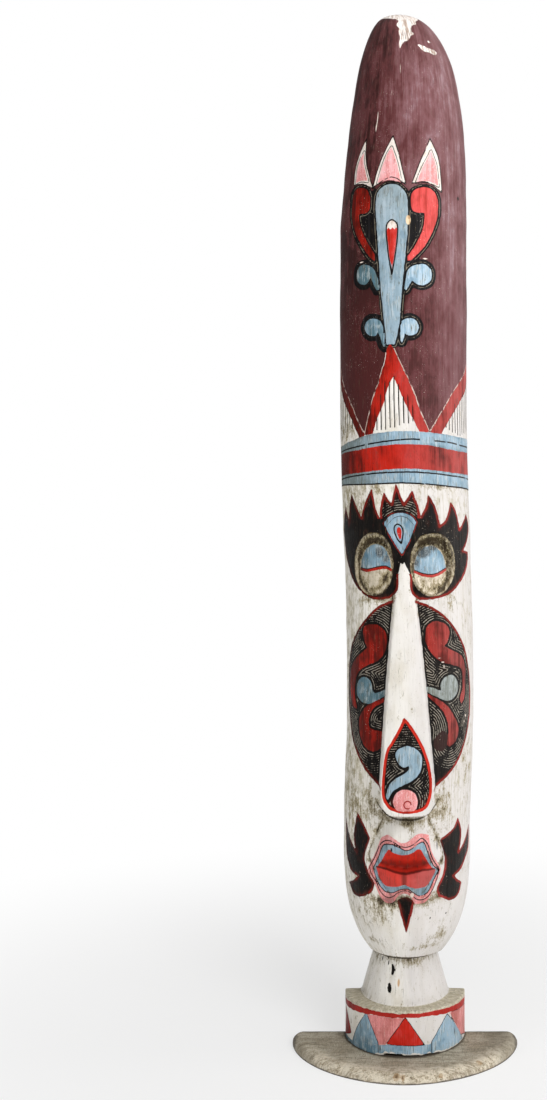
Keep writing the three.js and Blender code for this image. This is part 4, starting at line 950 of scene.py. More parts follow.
def build_pole():
    verts, uvs = [], []
    front = np.arange(ROWS * (COLS + 1)).reshape(ROWS, COLS + 1)
    verts = np.stack([X.ravel(), Y.ravel(), Z.ravel()], 1)
    pts = [verts]
    count = len(verts)
    back = np.zeros((ROWS, BACK_COLS + 1), int)
    for r in range(ROWS):
        bx, by, bz = back_profile(X[r, 0], X[r, -1], Z[r, 0], Z[r, -1])
        pts.append(np.stack([bx, by, bz], 1))
        back[r, 0], back[r, -1] = front[r, 0], front[r, -1]
        back[r, 1:-1] = np.arange(count, count + BACK_COLS - 1)
        count += BACK_COLS - 1
    pts.append(np.array([[DOME_X, BACK, DOME_TOP], [0.0, 40.0, Z[0, 0]]]))
    apex, foot_mid = count, count + 1
    pts = np.concatenate(pts)
    faces, mats, charts = [], [], []
    # unrolled coordinates for the bake: two strips of the front side by side, the back beside them
    run = np.concatenate([[0], np.cumsum(np.maximum(np.abs(np.diff(Z[:, COLS // 2] - out[:, COLS // 2] * 0)),
                                                    np.abs(np.diff(DEEP[:, COLS // 2]))))])
    half = ROWS // 2
    split = int(np.searchsorted(run, run[-1] / 2))
    scale = 0.985 / max(run[split], run[-1] - run[split])
    uu = (S_OF - S_OF[0]) * scale

    def front_uv(r, c, top):
        base = run[split] if top else 0.0
        return (0.006 + uu[c] + (uu[-1] + 0.012 if top else 0.0), 0.007 + (run[r] - base) * scale)

    loops = []
    for r in range(ROWS - 1):
        top = r >= split
        for c in range(COLS):
            faces.append((front[r, c], front[r, c + 1], front[r + 1, c + 1], front[r + 1, c]))
            loops += [front_uv(r, c, top), front_uv(r, c + 1, top), front_uv(r + 1, c + 1, top), front_uv(r + 1, c, top)]
            mats.append(0)
    u0 = 0.006 + 2 * (uu[-1] + 0.012)
    bs = min((0.994 - u0) / 250.0, 0.98 / run[-1] * 1.0)
    bx0 = X[:, 0].min()

    def back_uv(v, r):
        return (u0 + (pts[v][0] - bx0) * bs, 0.03 + run[r] * bs)

    for r in range(ROWS - 1):
        for c in range(BACK_COLS):
            a, b, d, e = back[r, c], back[r, c + 1], back[r + 1, c + 1], back[r + 1, c]
            faces.append((b, a, e, d))
            loops += [back_uv(b, r), back_uv(a, r), back_uv(e, r + 1), back_uv(d, r + 1)]
            mats.append(1)
    last = ROWS - 1
    for c in range(COLS):
        faces.append((front[last, c], front[last, c + 1], apex))
        top_uv = (front_uv(last, COLS // 2, True)[0], front_uv(last, 0, True)[1] + 0.001)
        loops += [front_uv(last, c, True), front_uv(last, c + 1, True), top_uv]
        mats.append(0)
    for c in range(BACK_COLS):
        faces.append((back[last, c + 1], back[last, c], apex))
        loops += [back_uv(back[last, c + 1], last), back_uv(back[last, c], last), back_uv(apex, last)]
        mats.append(1)
    ring_ = list(front[0]) + list(back[0][1:-1][::-1])

    def foot_uv(v):
        return (u0 + (pts[v][0] - bx0) * bs, 0.028 - (BACK - pts[v][1]) * bs * 0.3)
    for k in range(len(ring_)):
        a, b = ring_[k], ring_[(k + 1) % len(ring_)]
        faces.append((b, a, foot_mid))
        loops += [foot_uv(b), foot_uv(a), foot_uv(foot_mid)]
        mats.append(1)
    mesh = bpy.data.meshes.new("carved_pole_visual")
    mesh.from_pydata([tuple(p) for p in (pts / 1000.0)], [], faces)
    mesh.update()
    layer = mesh.uv_layers.new(name="OFBake")
    layer.data.foreach_set("uv", np.array(loops, np.float32).ravel())
    mesh.polygons.foreach_set("material_index", mats)
    n = len(pts)
    for name, field in FIELDS.items():
        a = mesh.attributes.new(name, "FLOAT", "POINT")
        values = np.zeros(n, np.float32)
        values[:ROWS * (COLS + 1)] = field.ravel()
        values[apex] = field[-1].mean()
        a.data.foreach_set("value", values)
    a = mesh.attributes.new("unroll", "FLOAT_VECTOR", "POINT")
    values = np.zeros((n, 3), np.float32)
    values[:, 0], values[:, 1], values[:, 2] = pts[:, 0], pts[:, 2], 300.0
    along_z = Z + np.where(is_shelf, np.maximum(0, 108.3 - shelf_r), 0) + np.where(is_neck, 26.0, 0)
    grid = np.stack([S.ravel(), along_z.ravel(), (radial * 50.0 + 0 * S).ravel()], 1)
    values[:len(grid)] = grid
    values[apex] = (0, DOME_TOP, 0)
    a.data.foreach_set("vector", values.ravel())
    mesh.polygons.foreach_set("use_smooth", [True] * len(faces))
    mesh.set_sharp_from_angle(angle=math.radians(48))
    mesh.update()
    obj = bpy.data.objects.new("carved_pole_visual", mesh)
    bpy.context.scene.collection.objects.link(obj)
    return obj


# ---------------------------------------------------------------------- shader arithmetic
def C(r, g, b):
    """An sRGB colour, 0 to 255, as linear values."""
    def lin(v):
        v = v / 255.0
        return v / 12.92 if v <= 0.04045 else ((v + 0.055) / 1.055) ** 2.4
    return (lin(r), lin(g), lin(b), 1.0)


class Val:
    def __init__(self, g, out):
        self.g, self.out = g, out

    def __add__(self, o): return self.g.math("ADD", self, o)
    def __radd__(self, o): return self.g.math("ADD", o, self)
    def __sub__(self, o): return self.g.math("SUBTRACT", self, o)
    def __rsub__(self, o): return self.g.math("SUBTRACT", o, self)
    def __mul__(self, o): return self.g.math("MULTIPLY", self, o)
    def __rmul__(self, o): return self.g.math("MULTIPLY", o, self)
    def __truediv__(self, o): return self.g.math("DIVIDE", self, o)
    def __neg__(self): return self.g.math("MULTIPLY", self, -1.0)


class Shade:
    """Builds one material's nodes with ordinary arithmetic."""

    def __init__(self, name):
        self.mat = bpy.data.materials.new(name)
        self.mat.use_nodes = True
        self.tree = self.mat.node_tree
        self.tree.nodes.clear()

    def node(self, kind, **props):
        n = self.tree.nodes.new(kind)
        for k, v in props.items():
            setattr(n, k, v)
        return n

    def put(self, value, socket):
        if isinstance(value, Val):
            self.tree.links.new(value.out, socket)
        else:
            socket.default_value = value

    def math(self, op, a, b=None, clamp=False):
        n = self.node("ShaderNodeMath", operation=op, use_clamp=clamp)
        self.put(a, n.inputs[0])
        if b is not None:
            self.put(b, n.inputs[1])
        return Val(self, n.outputs[0])

    def abs(self, a): return self.math("ABSOLUTE", a)
    def max(self, a, b): return self.math("MAXIMUM", a, b)
    def min(self, a, b): return self.math("MINIMUM", a, b)

    def ramp(self, x, a, b, lo=0.0, hi=1.0, kind="SMOOTHSTEP"):
        if a > b:
            a, b, lo, hi = b, a, hi, lo
        n = self.node("ShaderNodeMapRange", interpolation_type=kind)
        self.put(x, n.inputs["Value"])
        n.inputs["From Min"].default_value, n.inputs["From Max"].default_value = a, b
        n.inputs["To Min"].default_value, n.inputs["To Max"].default_value = lo, hi
        return Val(self, n.outputs["Result"])

    def attr(self, name, vector=False):
        n = self.node("ShaderNodeAttribute", attribute_type="GEOMETRY", attribute_name=name)
        return Val(self, n.outputs["Vector" if vector else "Fac"])

    def scaled(self, vec, sx, sy, sz=1.0, off=0.0):
        n = self.node("ShaderNodeVectorMath", operation="MULTIPLY_ADD")
        self.put(vec, n.inputs[0])
        n.inputs[1].default_value = (1.0 / sx, 1.0 / sy, 1.0 / sz)
        n.inputs[2].default_value = (off, off * 1.7, off * 0.6)
        return Val(self, n.outputs[0])

    def noise(self, vec, sx, sy, detail=2.0, off=0.0, rough=0.5, sz=1.0, twist=0.0, dims="2D"):
        n = self.node("ShaderNodeTexNoise", noise_dimensions=dims)
        self.put(self.scaled(vec, sx, sy, sz, off), n.inputs["Vector"])
        n.inputs["Scale"].default_value = 1.0
        n.inputs["Detail"].default_value = detail
        n.inputs["Roughness"].default_value = rough
        n.inputs["Distortion"].default_value = twist
        return Val(self, n.outputs["Fac"])

    def over(self, base, mask, top):
        """top laid over base where mask is 1."""
        n = self.node("ShaderNodeMix", data_type="RGBA", clamp_factor=True)
        self.put(mask, n.inputs["Factor"])
        self.put(base, n.inputs["A"] if False else n.inputs[6])
        self.put(top, n.inputs[7])
        return Val(self, n.outputs[2])

    def times(self, colour, amount):
        """colour multiplied by a number field."""
        n = self.node("ShaderNodeMix", data_type="RGBA", blend_type="MULTIPLY", clamp_factor=True)
        n.inputs[0].default_value = 1.0
        self.put(colour, n.inputs[6])
        self.put(amount, n.inputs[7])
        return Val(self, n.outputs[2])

    def finish(self, colour, roughness, height, distance, specular=0.5, coat=0.0, coat_rough=0.2):
        out_ = self.node("ShaderNodeOutputMaterial")
        bsdf = self.node("ShaderNodeBsdfPrincipled")
        self.put(colour, bsdf.inputs["Base Color"])
        self.put(roughness, bsdf.inputs["Roughness"])
        bsdf.inputs["Specular IOR Level"].default_value = specular
        bsdf.inputs["Coat Weight"].default_value = coat
        bsdf.inputs["Coat Roughness"].default_value = coat_rough
        bump = self.node("ShaderNodeBump")
        bump.inputs["Strength"].default_value = 1.0
        bump.inputs["Distance"].default_value = distance
        self.put(height, bump.inputs["Height"])
        self.tree.links.new(bump.outputs["Normal"], bsdf.inputs["Normal"])
        self.tree.links.new(bsdf.outputs[0], out_.inputs[0])
        return self.mat


# ------------------------------------------------------------------ paint on the carved front
def painted_wood():
    g = Shade("painted_wood")
    at = g.attr
    uv = at("unroll", True)
    grain = g.noise(uv, 1.7, 60, 3, 1.3, 0.6)                 # fine upright fibres
    streak = g.noise(uv, 6.5, 130, 3, 7.1, 0.6)
    blotch = g.noise(uv, 34, 62, 3, 3.7, 0.6)
    patch = g.noise(uv, 11, 20, 3, 9.2, 0.65)
    speck = g.noise(uv, 2.3, 3.1, 2, 4.4, 0.6)
    mottle = g.noise(uv, 5.0, 7.0, 3, 17.3, 0.65, twist=0.5)
    crack = g.noise(uv, 1.1, 30, 2, 12.6, 0.55)
    J = (g.noise(uv, 9, 17, 2, 21.0) - 0.5) * 2.2 + (grain - 0.5) * 1.1

    def on(name, soft=0.4, grow=0.0, wobble_=1.0):
        """1 inside the painted shape, with a hand-drawn edge."""
        return g.ramp(at(name) + J * wobble_, -soft - grow, soft - grow)

    def line(name, half, at_=0.0, soft=0.45, wobble_=0.5):
        d = g.abs(at(name) + J * wobble_ + at_)
        return g.ramp(d, half + soft, half - soft)

    tone_and_shade, dirt_and_side_shade, hollow_shade_and_stains = at("p_tone_shade"), at("p_dirt_side_shade"), at("p_hollow_shade_stains")
    streaky = 1.25 - at("p_calm") * 0.95

    def coat(dark, mid, light, wear=1.0):
        """One paint: darker in its streaks and in painted shade, brighter where it is thick and clean."""
        t = tone_and_shade + (streak - 0.5) * streaky * wear + (blotch - 0.5) * 1.5 * wear + (patch - 0.5) * 0.5 + (grain - 0.5) * 0.7 * wear
        c = g.over(dark, g.ramp(t, -0.70, 0.18), mid)
        return g.over(c, g.ramp(t, 0.10, 1.0), light)

    # grime and painted shade from the hollows: olive first, then nearly black where it is thickest
    grime_and_shade = hollow_shade_and_stains + (patch - 0.5) * 1.9 + (mottle - 0.5) * 1.2 + (grain - 0.5) * 0.85 + (speck - 0.5) * 1.2
    # white ground
    white = g.over(C(236, 232, 225), g.ramp(blotch, 0.40, 0.72), C(224, 218, 206))
    # painted shade: the white ground greyed on the lit right side
    white = g.over(white, at("p_side_shade") * 0.62, C(200, 195, 194))
    ball = g.over(C(226, 212, 186), g.ramp(mottle * 0.6 + patch * 0.4, 0.42, 0.60), C(160, 140, 102))
    # painted shade: the eyeballs darker toward the left
    ball = g.over(ball, g.ramp(at("p_side_shade"), 0.8, 0.2) * 0.45, C(140, 124, 92))
    white = g.over(white, g.ramp(at("p_eye"), -0.5, 1.0) * 0.72, ball)
    white = g.over(white, g.ramp(grain * 0.6 + streak * 0.4, 0.50, 0.64) * g.ramp(dirt_and_side_shade, 0.0, 0.9) * 0.72, C(176, 165, 140))
    white = g.over(white, g.ramp(patch + (dirt_and_side_shade - 0.5) * 0.35, 0.58, 0.82) * 0.55, C(172, 162, 130))
    white = g.over(white, g.ramp(grime_and_shade, 0.30, 1.00) * 0.76, C(142, 128, 90))
    white = g.over(white, g.ramp(grime_and_shade, 0.85, 1.35) * 0.55, C(96, 82, 52))
    white = g.over(white, g.ramp(grime_and_shade, 1.25, 1.75) * 0.85, C(52, 41, 27))
    colour = white
    # plum of the crown
    # fading of the plum and the painted sheen on it
    fade_ = at("p_fade") + (streak - 0.5) * 0.55 + (blotch - 0.5) * 1.0 + (grain - 0.5) * 0.40 + (patch - 0.5) * 0.60
    plum_ = g.over(C(54, 27, 26), g.ramp(fade_, -0.06, 0.32), C(92, 49, 50))
    plum_ = g.over(plum_, g.ramp(fade_, 0.28, 0.76), C(120, 79, 82))
    plum_ = g.over(plum_, g.ramp(fade_, 0.68, 1.10), C(148, 118, 124))
    plum_ = g.over(plum_, at("p_low") * 0.62, g.over(C(84, 36, 36), g.ramp(fade_, 0.0, 0.5), C(106, 60, 64)))
    plum_ = g.over(plum_, g.ramp(crack, 0.66, 0.74) * g.ramp(streak, 0.5, 0.6) * 0.35, C(180, 154, 152))
    plum_ = g.over(plum_, g.ramp(crack, 0.36, 0.28) * g.ramp(patch, 0.40, 0.55) * 0.55, C(44, 20, 20))
    plum_ = g.over(plum_, g.ramp(speck, 0.70, 0.75) * g.ramp(blotch, 0.45, 0.52) * 0.6, C(178, 148, 146))
    colour = g.over(colour, on("p_plum"), plum_)
    # cream line that frames the zigzag
    colour = g.over(colour, line("p_zig", 0.55, 1.2) * g.ramp(at("p_plum"), -4.0, -1.0) * g.ramp(streak, 0.40, 0.5)
                    * g.ramp(at("p_above"), 2.0, 4.0), C(214, 190, 176))
    # headdress
    colour = g.over(colour, on("p_hblack"), g.over(C(14, 12, 13), g.ramp(streak, 0.5, 0.75), C(36, 33, 35)))
    colour = g.over(colour, line("p_hair", 0.55) * g.ramp(patch, 0.34, 0.46) * 0.75, C(142, 132, 114))
    colour = g.over(colour, on("p_cream"), g.over(C(232, 222, 214), g.ramp(patch, 0.45, 0.8), C(200, 180, 162)))
    # black areas of the face and their dark red rims
    inkstreak = g.ramp(streak * 0.6 + grain * 0.4, 0.50, 0.72)
    black_ = g.over(C(11, 7, 5), inkstreak * 0.6, C(32, 24, 19))
    # painted sheen: the black greyer on the lit right side
    black_ = g.over(black_, g.ramp(tone_and_shade + (streak - 0.5), 0.1, 0.8) * 0.30, C(44, 38, 35))
    black_ = g.over(black_, g.ramp(patch, 0.56, 0.76) * 0.45, C(58, 29, 21))
    black_ = g.over(black_, g.ramp(at("p_rim") + J * 1.6, 9.0, 3.0) * g.ramp(patch, 0.40, 0.56) * 0.55, C(72, 22, 14))
    face_black = on("p_black")
    colour = g.over(colour, face_black, black_)
    rim = g.ramp(at("p_rim") + J, -1.7, -0.9) * g.ramp(at("p_rim") + J * 1.6, 3.6, 2.2)
    rim = rim * g.ramp(streak * 0.7 + mottle * 0.3 + tone_and_shade * 0.10, 0.27, 0.42) * (1.0 - at("p_quiet") * 0.85)
    colour = g.over(colour, rim * g.max(face_black, g.ramp(at("p_black"), -4.2, -3.0)),
                    coat(C(60, 15, 8), C(122, 28, 20), C(170, 52, 50)))
    # nose panel: red frame, black field
    panel_ = at("p_panel") + J * 0.6
    colour = g.over(colour, g.ramp(panel_, -0.6, 0.2), coat(C(120, 20, 10), C(196, 44, 28), C(214, 66, 54)))
    colour = g.over(colour, g.ramp(panel_, 4.4, 5.2), black_)
    # gouged lines in the black fields
    rings = g.math("SINE", (at("p_ring") + (patch - 0.5) * 3.2) * (2 * math.pi / 4.1))
    live = g.ramp(at("p_ringon"), 0.0, 1.0)
    colour = g.over(colour, g.ramp(rings, 0.25, 0.85) * live * g.ramp(speck + (patch - 0.5) * 1.3 + (blotch - 0.5), 0.32, 0.56) * 0.84,
                    C(166, 158, 144))
    colour = g.over(colour, on("p_blob"), g.over(C(40, 24, 22), grain, C(62, 38, 34)))
    # blue
    blue_ = coat(C(80, 110, 120), C(140, 168, 186), C(184, 206, 222))
    blue_ = g.over(blue_, g.ramp(blotch * 0.5 + patch * 0.5, 0.44, 0.36) * 0.55, C(96, 130, 152))
    blue_ = g.over(blue_, at("p_grey"), g.over(C(166, 171, 168), g.ramp(patch * 0.5 + grain * 0.5, 0.42, 0.58), C(116, 118, 106)))
    blue_ = g.over(blue_, g.ramp(patch * 0.6 + grain * 0.4, 0.50, 0.66) * 0.60 * (1.0 - at("p_grey") * 0.8), C(196, 204, 204))
    blue_ = g.over(blue_, g.ramp(crack, 0.55, 0.64) * g.ramp(patch + (tone_and_shade * -0.12), 0.36, 0.58) * 0.80, C(86, 88, 72))
    blue_ = g.over(blue_, g.ramp(grime_and_shade, 0.75, 1.25) * 0.75, C(104, 102, 82))
    colour = g.over(colour, on("p_blue"), blue_)
    # pink
    pink_ = coat(C(172, 94, 86), C(222, 142, 140), C(244, 186, 190))
    pink_ = g.over(pink_, g.ramp(grain * 0.5 + patch * 0.5, 0.53, 0.66) * 0.4, C(236, 196, 190))
    pink_ = g.over(pink_, g.ramp(speck * 0.6 + mottle * 0.4, 0.55, 0.64) * 0.5 * (1.0 - at("p_drum") * 0.75), C(246, 220, 218))
    pink_ = g.over(pink_, g.ramp(speck * 0.6 + grain * 0.4, 0.40, 0.34) * 0.45, C(150, 74, 72))
    colour = g.over(colour, on("p_pink"), pink_)
    # red
    # painted shade: the red's middle colour duller on the lit right side, off the drum
    red_ = coat(C(84, 14, 5), g.over(C(188, 34, 20), at("p_side_shade") * 0.8 * (1.0 - at("p_drum")), C(170, 58, 52)), C(236, 92, 90))
    red_ = g.over(red_, g.ramp(grain * 0.45 + streak * 0.55, 0.53, 0.66) * (0.50 - at("p_calm") * 0.35), C(112, 22, 12))
    red_ = g.over(red_, g.ramp(blotch * 0.55 + patch * 0.45, 0.53, 0.66) * 0.45, C(118, 26, 14))
    # painted shade: the lower lip's red duller on the right side
    low_red = g.over(C(214, 66, 56), at("p_side_shade"), C(176, 78, 74))
    lips = g.over(g.over(C(198, 44, 30), g.ramp(patch, 0.5, 0.7) * 0.4, C(160, 34, 22)), at("p_lower"), low_red)
    lips = g.over(lips, g.ramp(patch * 0.5 + grain * 0.5, 0.50, 0.64) * 0.35, C(150, 50, 42))
    # painted shade deep in the mouth
    lips = g.over(lips, g.ramp(at("p_mouth_shade") + (patch - 0.5) * 0.3, 0.15, 1.1) * 0.72, C(70, 14, 8))
    # painted shade in the dip between the lower lip's lobes
    lips = g.over(lips, g.ramp(at("p_lip_notch_shade") + J, -2.4, 2.4) * 0.70, C(84, 34, 26))
    red_ = g.over(red_, g.ramp(at("p_mouthin"), -3.0, -2.0), lips)
    colour = g.over(colour, on("p_red"), red_)
    # dark lines
    ink = C(16, 11, 10)
    colour = g.over(colour, line("p_trace", 0.85) * g.ramp(patch, 0.28, 0.40), ink)
    colour = g.over(colour, line("p_trace2", 0.65) * g.ramp(patch, 0.28, 0.40), ink)
    colour = g.over(colour, line("p_curl", 1.0) * g.ramp(at("p_curlon"), 0.3, 0.7), C(150, 30, 26))
    colour = g.over(colour, line("p_drop", 1.25, 0.2) * g.ramp(patch, 0.24, 0.36), ink)
    colour = g.over(colour, line("p_tear", 0.8, 1.6) * g.ramp(streak, 0.34, 0.46), coat(C(92, 22, 14), C(138, 38, 32), C(176, 62, 60)))
    colour = g.over(colour, line("p_lid", 0.9), ink)
    colour = g.over(colour, line("p_arc", 0.5) * g.ramp(patch, 0.28, 0.40), ink)
    # painted shadow under the nose's ledge
    colour = g.over(colour, line("p_ledge_shadow", 1.5, 0.0, 0.9) * g.ramp(patch, 0.24, 0.40) * at("p_ledge_shadow_on") * 0.90, C(46, 37, 24))
    # painted shade along the muzzle pad's edge
    colour = g.over(colour, line("p_pad", 0.8, 0.0, 0.9) * g.ramp(patch * 0.5 + streak * 0.5, 0.40, 0.52) * at("p_padon") * 0.70, C(70, 58, 40))
    # bare wood of the eye sockets, with grime and painted shade
    raw = g.over(C(158, 146, 112), g.ramp(mottle * 0.7 + speck * 0.3, 0.38, 0.54), C(98, 84, 54))
    raw = g.over(raw, g.ramp(mottle * 0.4 + patch * 0.6, 0.48, 0.60) * 0.85, C(54, 43, 27))
    raw = g.over(raw, g.ramp(speck * 0.7 + mottle * 0.3, 0.40, 0.33) * 0.7, C(204, 196, 172))
    raw = g.over(raw, g.ramp(at_y(g, uv) + (patch - 0.5) * 22, 898, 872) * 0.55, ball)
    raw = g.over(raw, g.ramp(grime_and_shade, 0.75, 1.50) * 0.55, C(40, 32, 22))
    colour = g.over(colour, on("p_sock", 0.7) * 0.88, raw)
    worn = g.ramp(at("p_rub") + (mottle - 0.5) * 9 + (grain - 0.5) * 5, -2.5, 6.0)
    colour = g.over(colour, worn * 0.80, g.over(C(50, 46, 42), g.ramp(grain * 0.5 + speck * 0.5, 0.48, 0.60), C(128, 130, 126)))
    colour = g.over(colour, line("p_bands", 1.35) * g.ramp(at("p_gap"), 0.6, 0.3) * g.ramp(patch, 0.26, 0.36), ink)
    colour = g.over(colour, on("p_dark"), coat(C(96, 16, 10), C(168, 38, 30), C(186, 60, 54)))
    # upright gouges of the white points
    gp = (at_x(g, uv) + swing_node(g, uv)) * (1.0 / GROOVE_PITCH)
    cut = g.abs(gp - g.math("ROUND", gp)) * GROOVE_PITCH
    cut = g.ramp(cut + (patch - 0.5) * 0.8, 1.25, 0.55) * g.ramp(at("p_groove"), 0.35, 0.7) * g.ramp(streak, 0.26, 0.38)
    colour = g.over(colour, cut, C(36, 28, 22))
    # grime and painted shade over the paints, thinner than on the ground
    colour = g.over(colour, g.ramp(grime_and_shade, 0.95, 1.7) * 0.55, C(44, 34, 26))
    # painted shadow in the slit between the lips
    colour = g.over(colour, g.ramp(at("p_mouth_slit_shadow") + J * 0.5, -2.6, -0.6) * g.ramp(at("p_mouth_slit_shadow") + J * 0.5, 3.4, 0.6) * 0.80, C(40, 12, 8))
    # wear: cracks with dirt, flecks of bare ground
    colour = g.over(colour, g.ramp(crack + (dirt_and_side_shade - 0.5) * 0.06, 0.665, 0.72) * g.ramp(patch, 0.42, 0.58) * 0.75, C(84, 72, 54))
    fleck = g.ramp(speck + (dirt_and_side_shade - 0.5) * 0.03, 0.715, 0.755) * g.ramp(blotch, 0.50, 0.58)
    colour = g.over(colour, fleck * (1.0 - on("p_plum") * 0.6) * 0.85, C(52, 42, 34))
    pale = g.ramp(speck, 0.27, 0.235) * g.ramp(blotch, 0.52, 0.62)
    colour = g.over(colour, pale * (g.max(face_black, on("p_plum"))), C(206, 192, 176))
    # shelf of the drum, its foot, and painted shade in the gap under the drum
    shelf_ = g.over(C(172, 162, 140), g.ramp(patch, 0.36, 0.62), C(206, 198, 178))
    shelf_ = g.over(shelf_, g.ramp(mottle * 0.5 + patch * 0.5, 0.50, 0.64) * 0.6, C(108, 96, 76))
    colour = g.over(colour, g.ramp(at("p_shelf"), 0.02, 0.10) * (1.0 - on("p_dark")), shelf_)
    colour = g.over(colour, g.ramp(at("p_footl") + J, -0.3, 0.4), C(214, 210, 200))
    colour = g.over(colour, g.ramp(at("p_foot_gap_shade") + J * 0.6, -0.4, 0.4), C(30, 23, 18))
    # nicks: short upright cuts, dark or pale
    colour = g.over(colour, g.ramp(at("p_nick") + J * 0.3, -0.3, 0.3), C(30, 24, 20))
    colour = g.over(colour, g.ramp(at("p_nickpale") + J * 0.3, -0.3, 0.3), C(232, 216, 204))
    colour = g.over(colour, g.ramp(at("p_tan") + J * 0.8, -0.4, 0.4), g.over(C(226, 202, 168), g.ramp(patch, 0.42, 0.6), C(176, 140, 100)))
    # painted sheen: a pale reflection painted over the paints on the lit side
    sheen_mask = g.max(g.max(on("p_plum") * 0.5, on("p_red") * 0.8), g.max(on("p_blue") * 0.8, face_black * 0.30))
    colour = g.over(colour, at("p_shine") * sheen_mask * g.ramp(streak + blotch * 0.5, 0.55, 0.95, 0.08, 0.17), C(196, 192, 190))
    # chips
    bare = g.over(C(246, 238, 232), g.ramp(patch * 0.5 + streak * 0.5, 0.48, 0.60), C(190, 170, 156))
    bare = g.over(bare, g.ramp(crack, 0.56, 0.66), C(104, 80, 66))
    colour = g.over(colour, g.ramp(at("p_chips") + J * 1.3, -0.4, 0.3), bare)
    colour = g.over(colour, g.ramp(at("p_neckchip") + J * 0.06, 0.30, 0.42), C(20, 15, 12))
    colour = g.over(colour, g.ramp(at("p_ochre"), 0.3, 0.7) * 0.8, C(196, 148, 88))
    painted = g.max(g.max(on("p_plum"), on("p_red")), g.max(on("p_blue"), face_black))
    rough = g.ramp(patch + (dirt_and_side_shade - 0.3) * 0.25, 0.2, 0.9, 0.36, 0.62) - painted * 0.02
    height = (grain * 0.50 + streak * 0.28 + patch * 0.30 + mottle * 0.15 + crack * 0.35
              + g.ramp(rings, -0.2, 0.9) * live * -0.7 + cut * -0.9 + painted * 0.12)
    rough = rough - g.ramp(at("p_eye"), -0.5, 2.0) * 0.12
    return g.finish(colour, rough, height, 0.0011, 0.10, 0.0, 0.25)


def at_x(g, vec):
    n = g.node("ShaderNodeSeparateXYZ")
    g.put(vec, n.inputs[0])
    return Val(g, n.outputs[0])


def at_y(g, vec):
    n = g.node("ShaderNodeSeparateXYZ")
    g.put(vec, n.inputs[0])
    return Val(g, n.outputs[1])


def swing_node(g, vec):
    x, z = at_x(g, vec), at_y(g, vec)
    return g.math("SINE", z * (1 / 37.0)) * 0.45 + g.math("SINE", z * (1 / 13.0) + x * (1 / 21.0)) * 0.15


def raw_back():
    """Sawn, unpainted wood with a thin wash of old white paint that ran over from the edges."""
    g = Shade("sawn_back")
    uv = g.attr("unroll", True)
    fibre = g.noise(uv, 2.0, 90, 3, 2.2, 0.6)
    figure = g.noise(uv, 16, 420, 3, 5.5, 0.55, twist=0.6)
    blotch = g.noise(uv, 60, 120, 3, 8.1, 0.6)
    kerf = g.math("SINE", at_y(g, uv) * (2 * math.pi / 5.2) + blotch * 9.0 + at_x(g, uv) * 0.03)
    wood = g.over(C(170, 146, 114), g.ramp(figure, 0.35, 0.7), C(142, 115, 84))
    wood = g.over(wood, g.ramp(fibre, 0.52, 0.72) * 0.6, C(98, 78, 57))
    wood = g.over(wood, g.ramp(blotch, 0.45, 0.75) * 0.5, C(178, 160, 132))
    wood = g.over(wood, g.ramp(kerf, 0.4, 1.0) * 0.18, C(88, 70, 54))
    wash = g.ramp(blotch * 0.6 + fibre * 0.5 + figure * 0.2, 0.70, 0.90)
    wood = g.over(wood, wash * 0.45, C(206, 194, 170))
    split = g.ramp(g.noise(uv, 5.0, 520, 2, 14.0), 0.70, 0.74)
    wood = g.over(wood, split * 0.8, C(44, 34, 26))
    height = fibre * 0.5 + figure * 0.3 + kerf * 0.25 - split * 1.2
    return g.finish(wood, g.ramp(fibre, 0.2, 0.8, 0.68, 0.86), height, 0.0012, 0.3)


# -------------------------------------------------------------------------- the plank
PLANK_HALF, PLANK_DEEP, PLANK_THICK = 208.0, 176.0, 18.0
PLANK_POWER, EDGE_RUN, EDGE_RISE, TIP = 1.86, 17.0, 14.0, 10.0


def plank_row(inset, n):
    a, b = PLANK_HALF - inset, PLANK_DEEP - inset
    th = np.linspace(-math.pi / 2, math.pi / 2, n + 1)
    s, c = np.sin(th), np.cos(th)
    s[0], s[-1], c[0], c[-1] = -1, 1, 0, 0
    d = b * np.abs(c) ** (2 / PLANK_POWER)
    tip = np.maximum(0, 1 - d / TIP)
    x = a * np.sign(s) * np.abs(s) ** (2 / PLANK_POWER) - np.sign(s) * TIP * 0.35 * tip ** 2
    return x, BACK - d


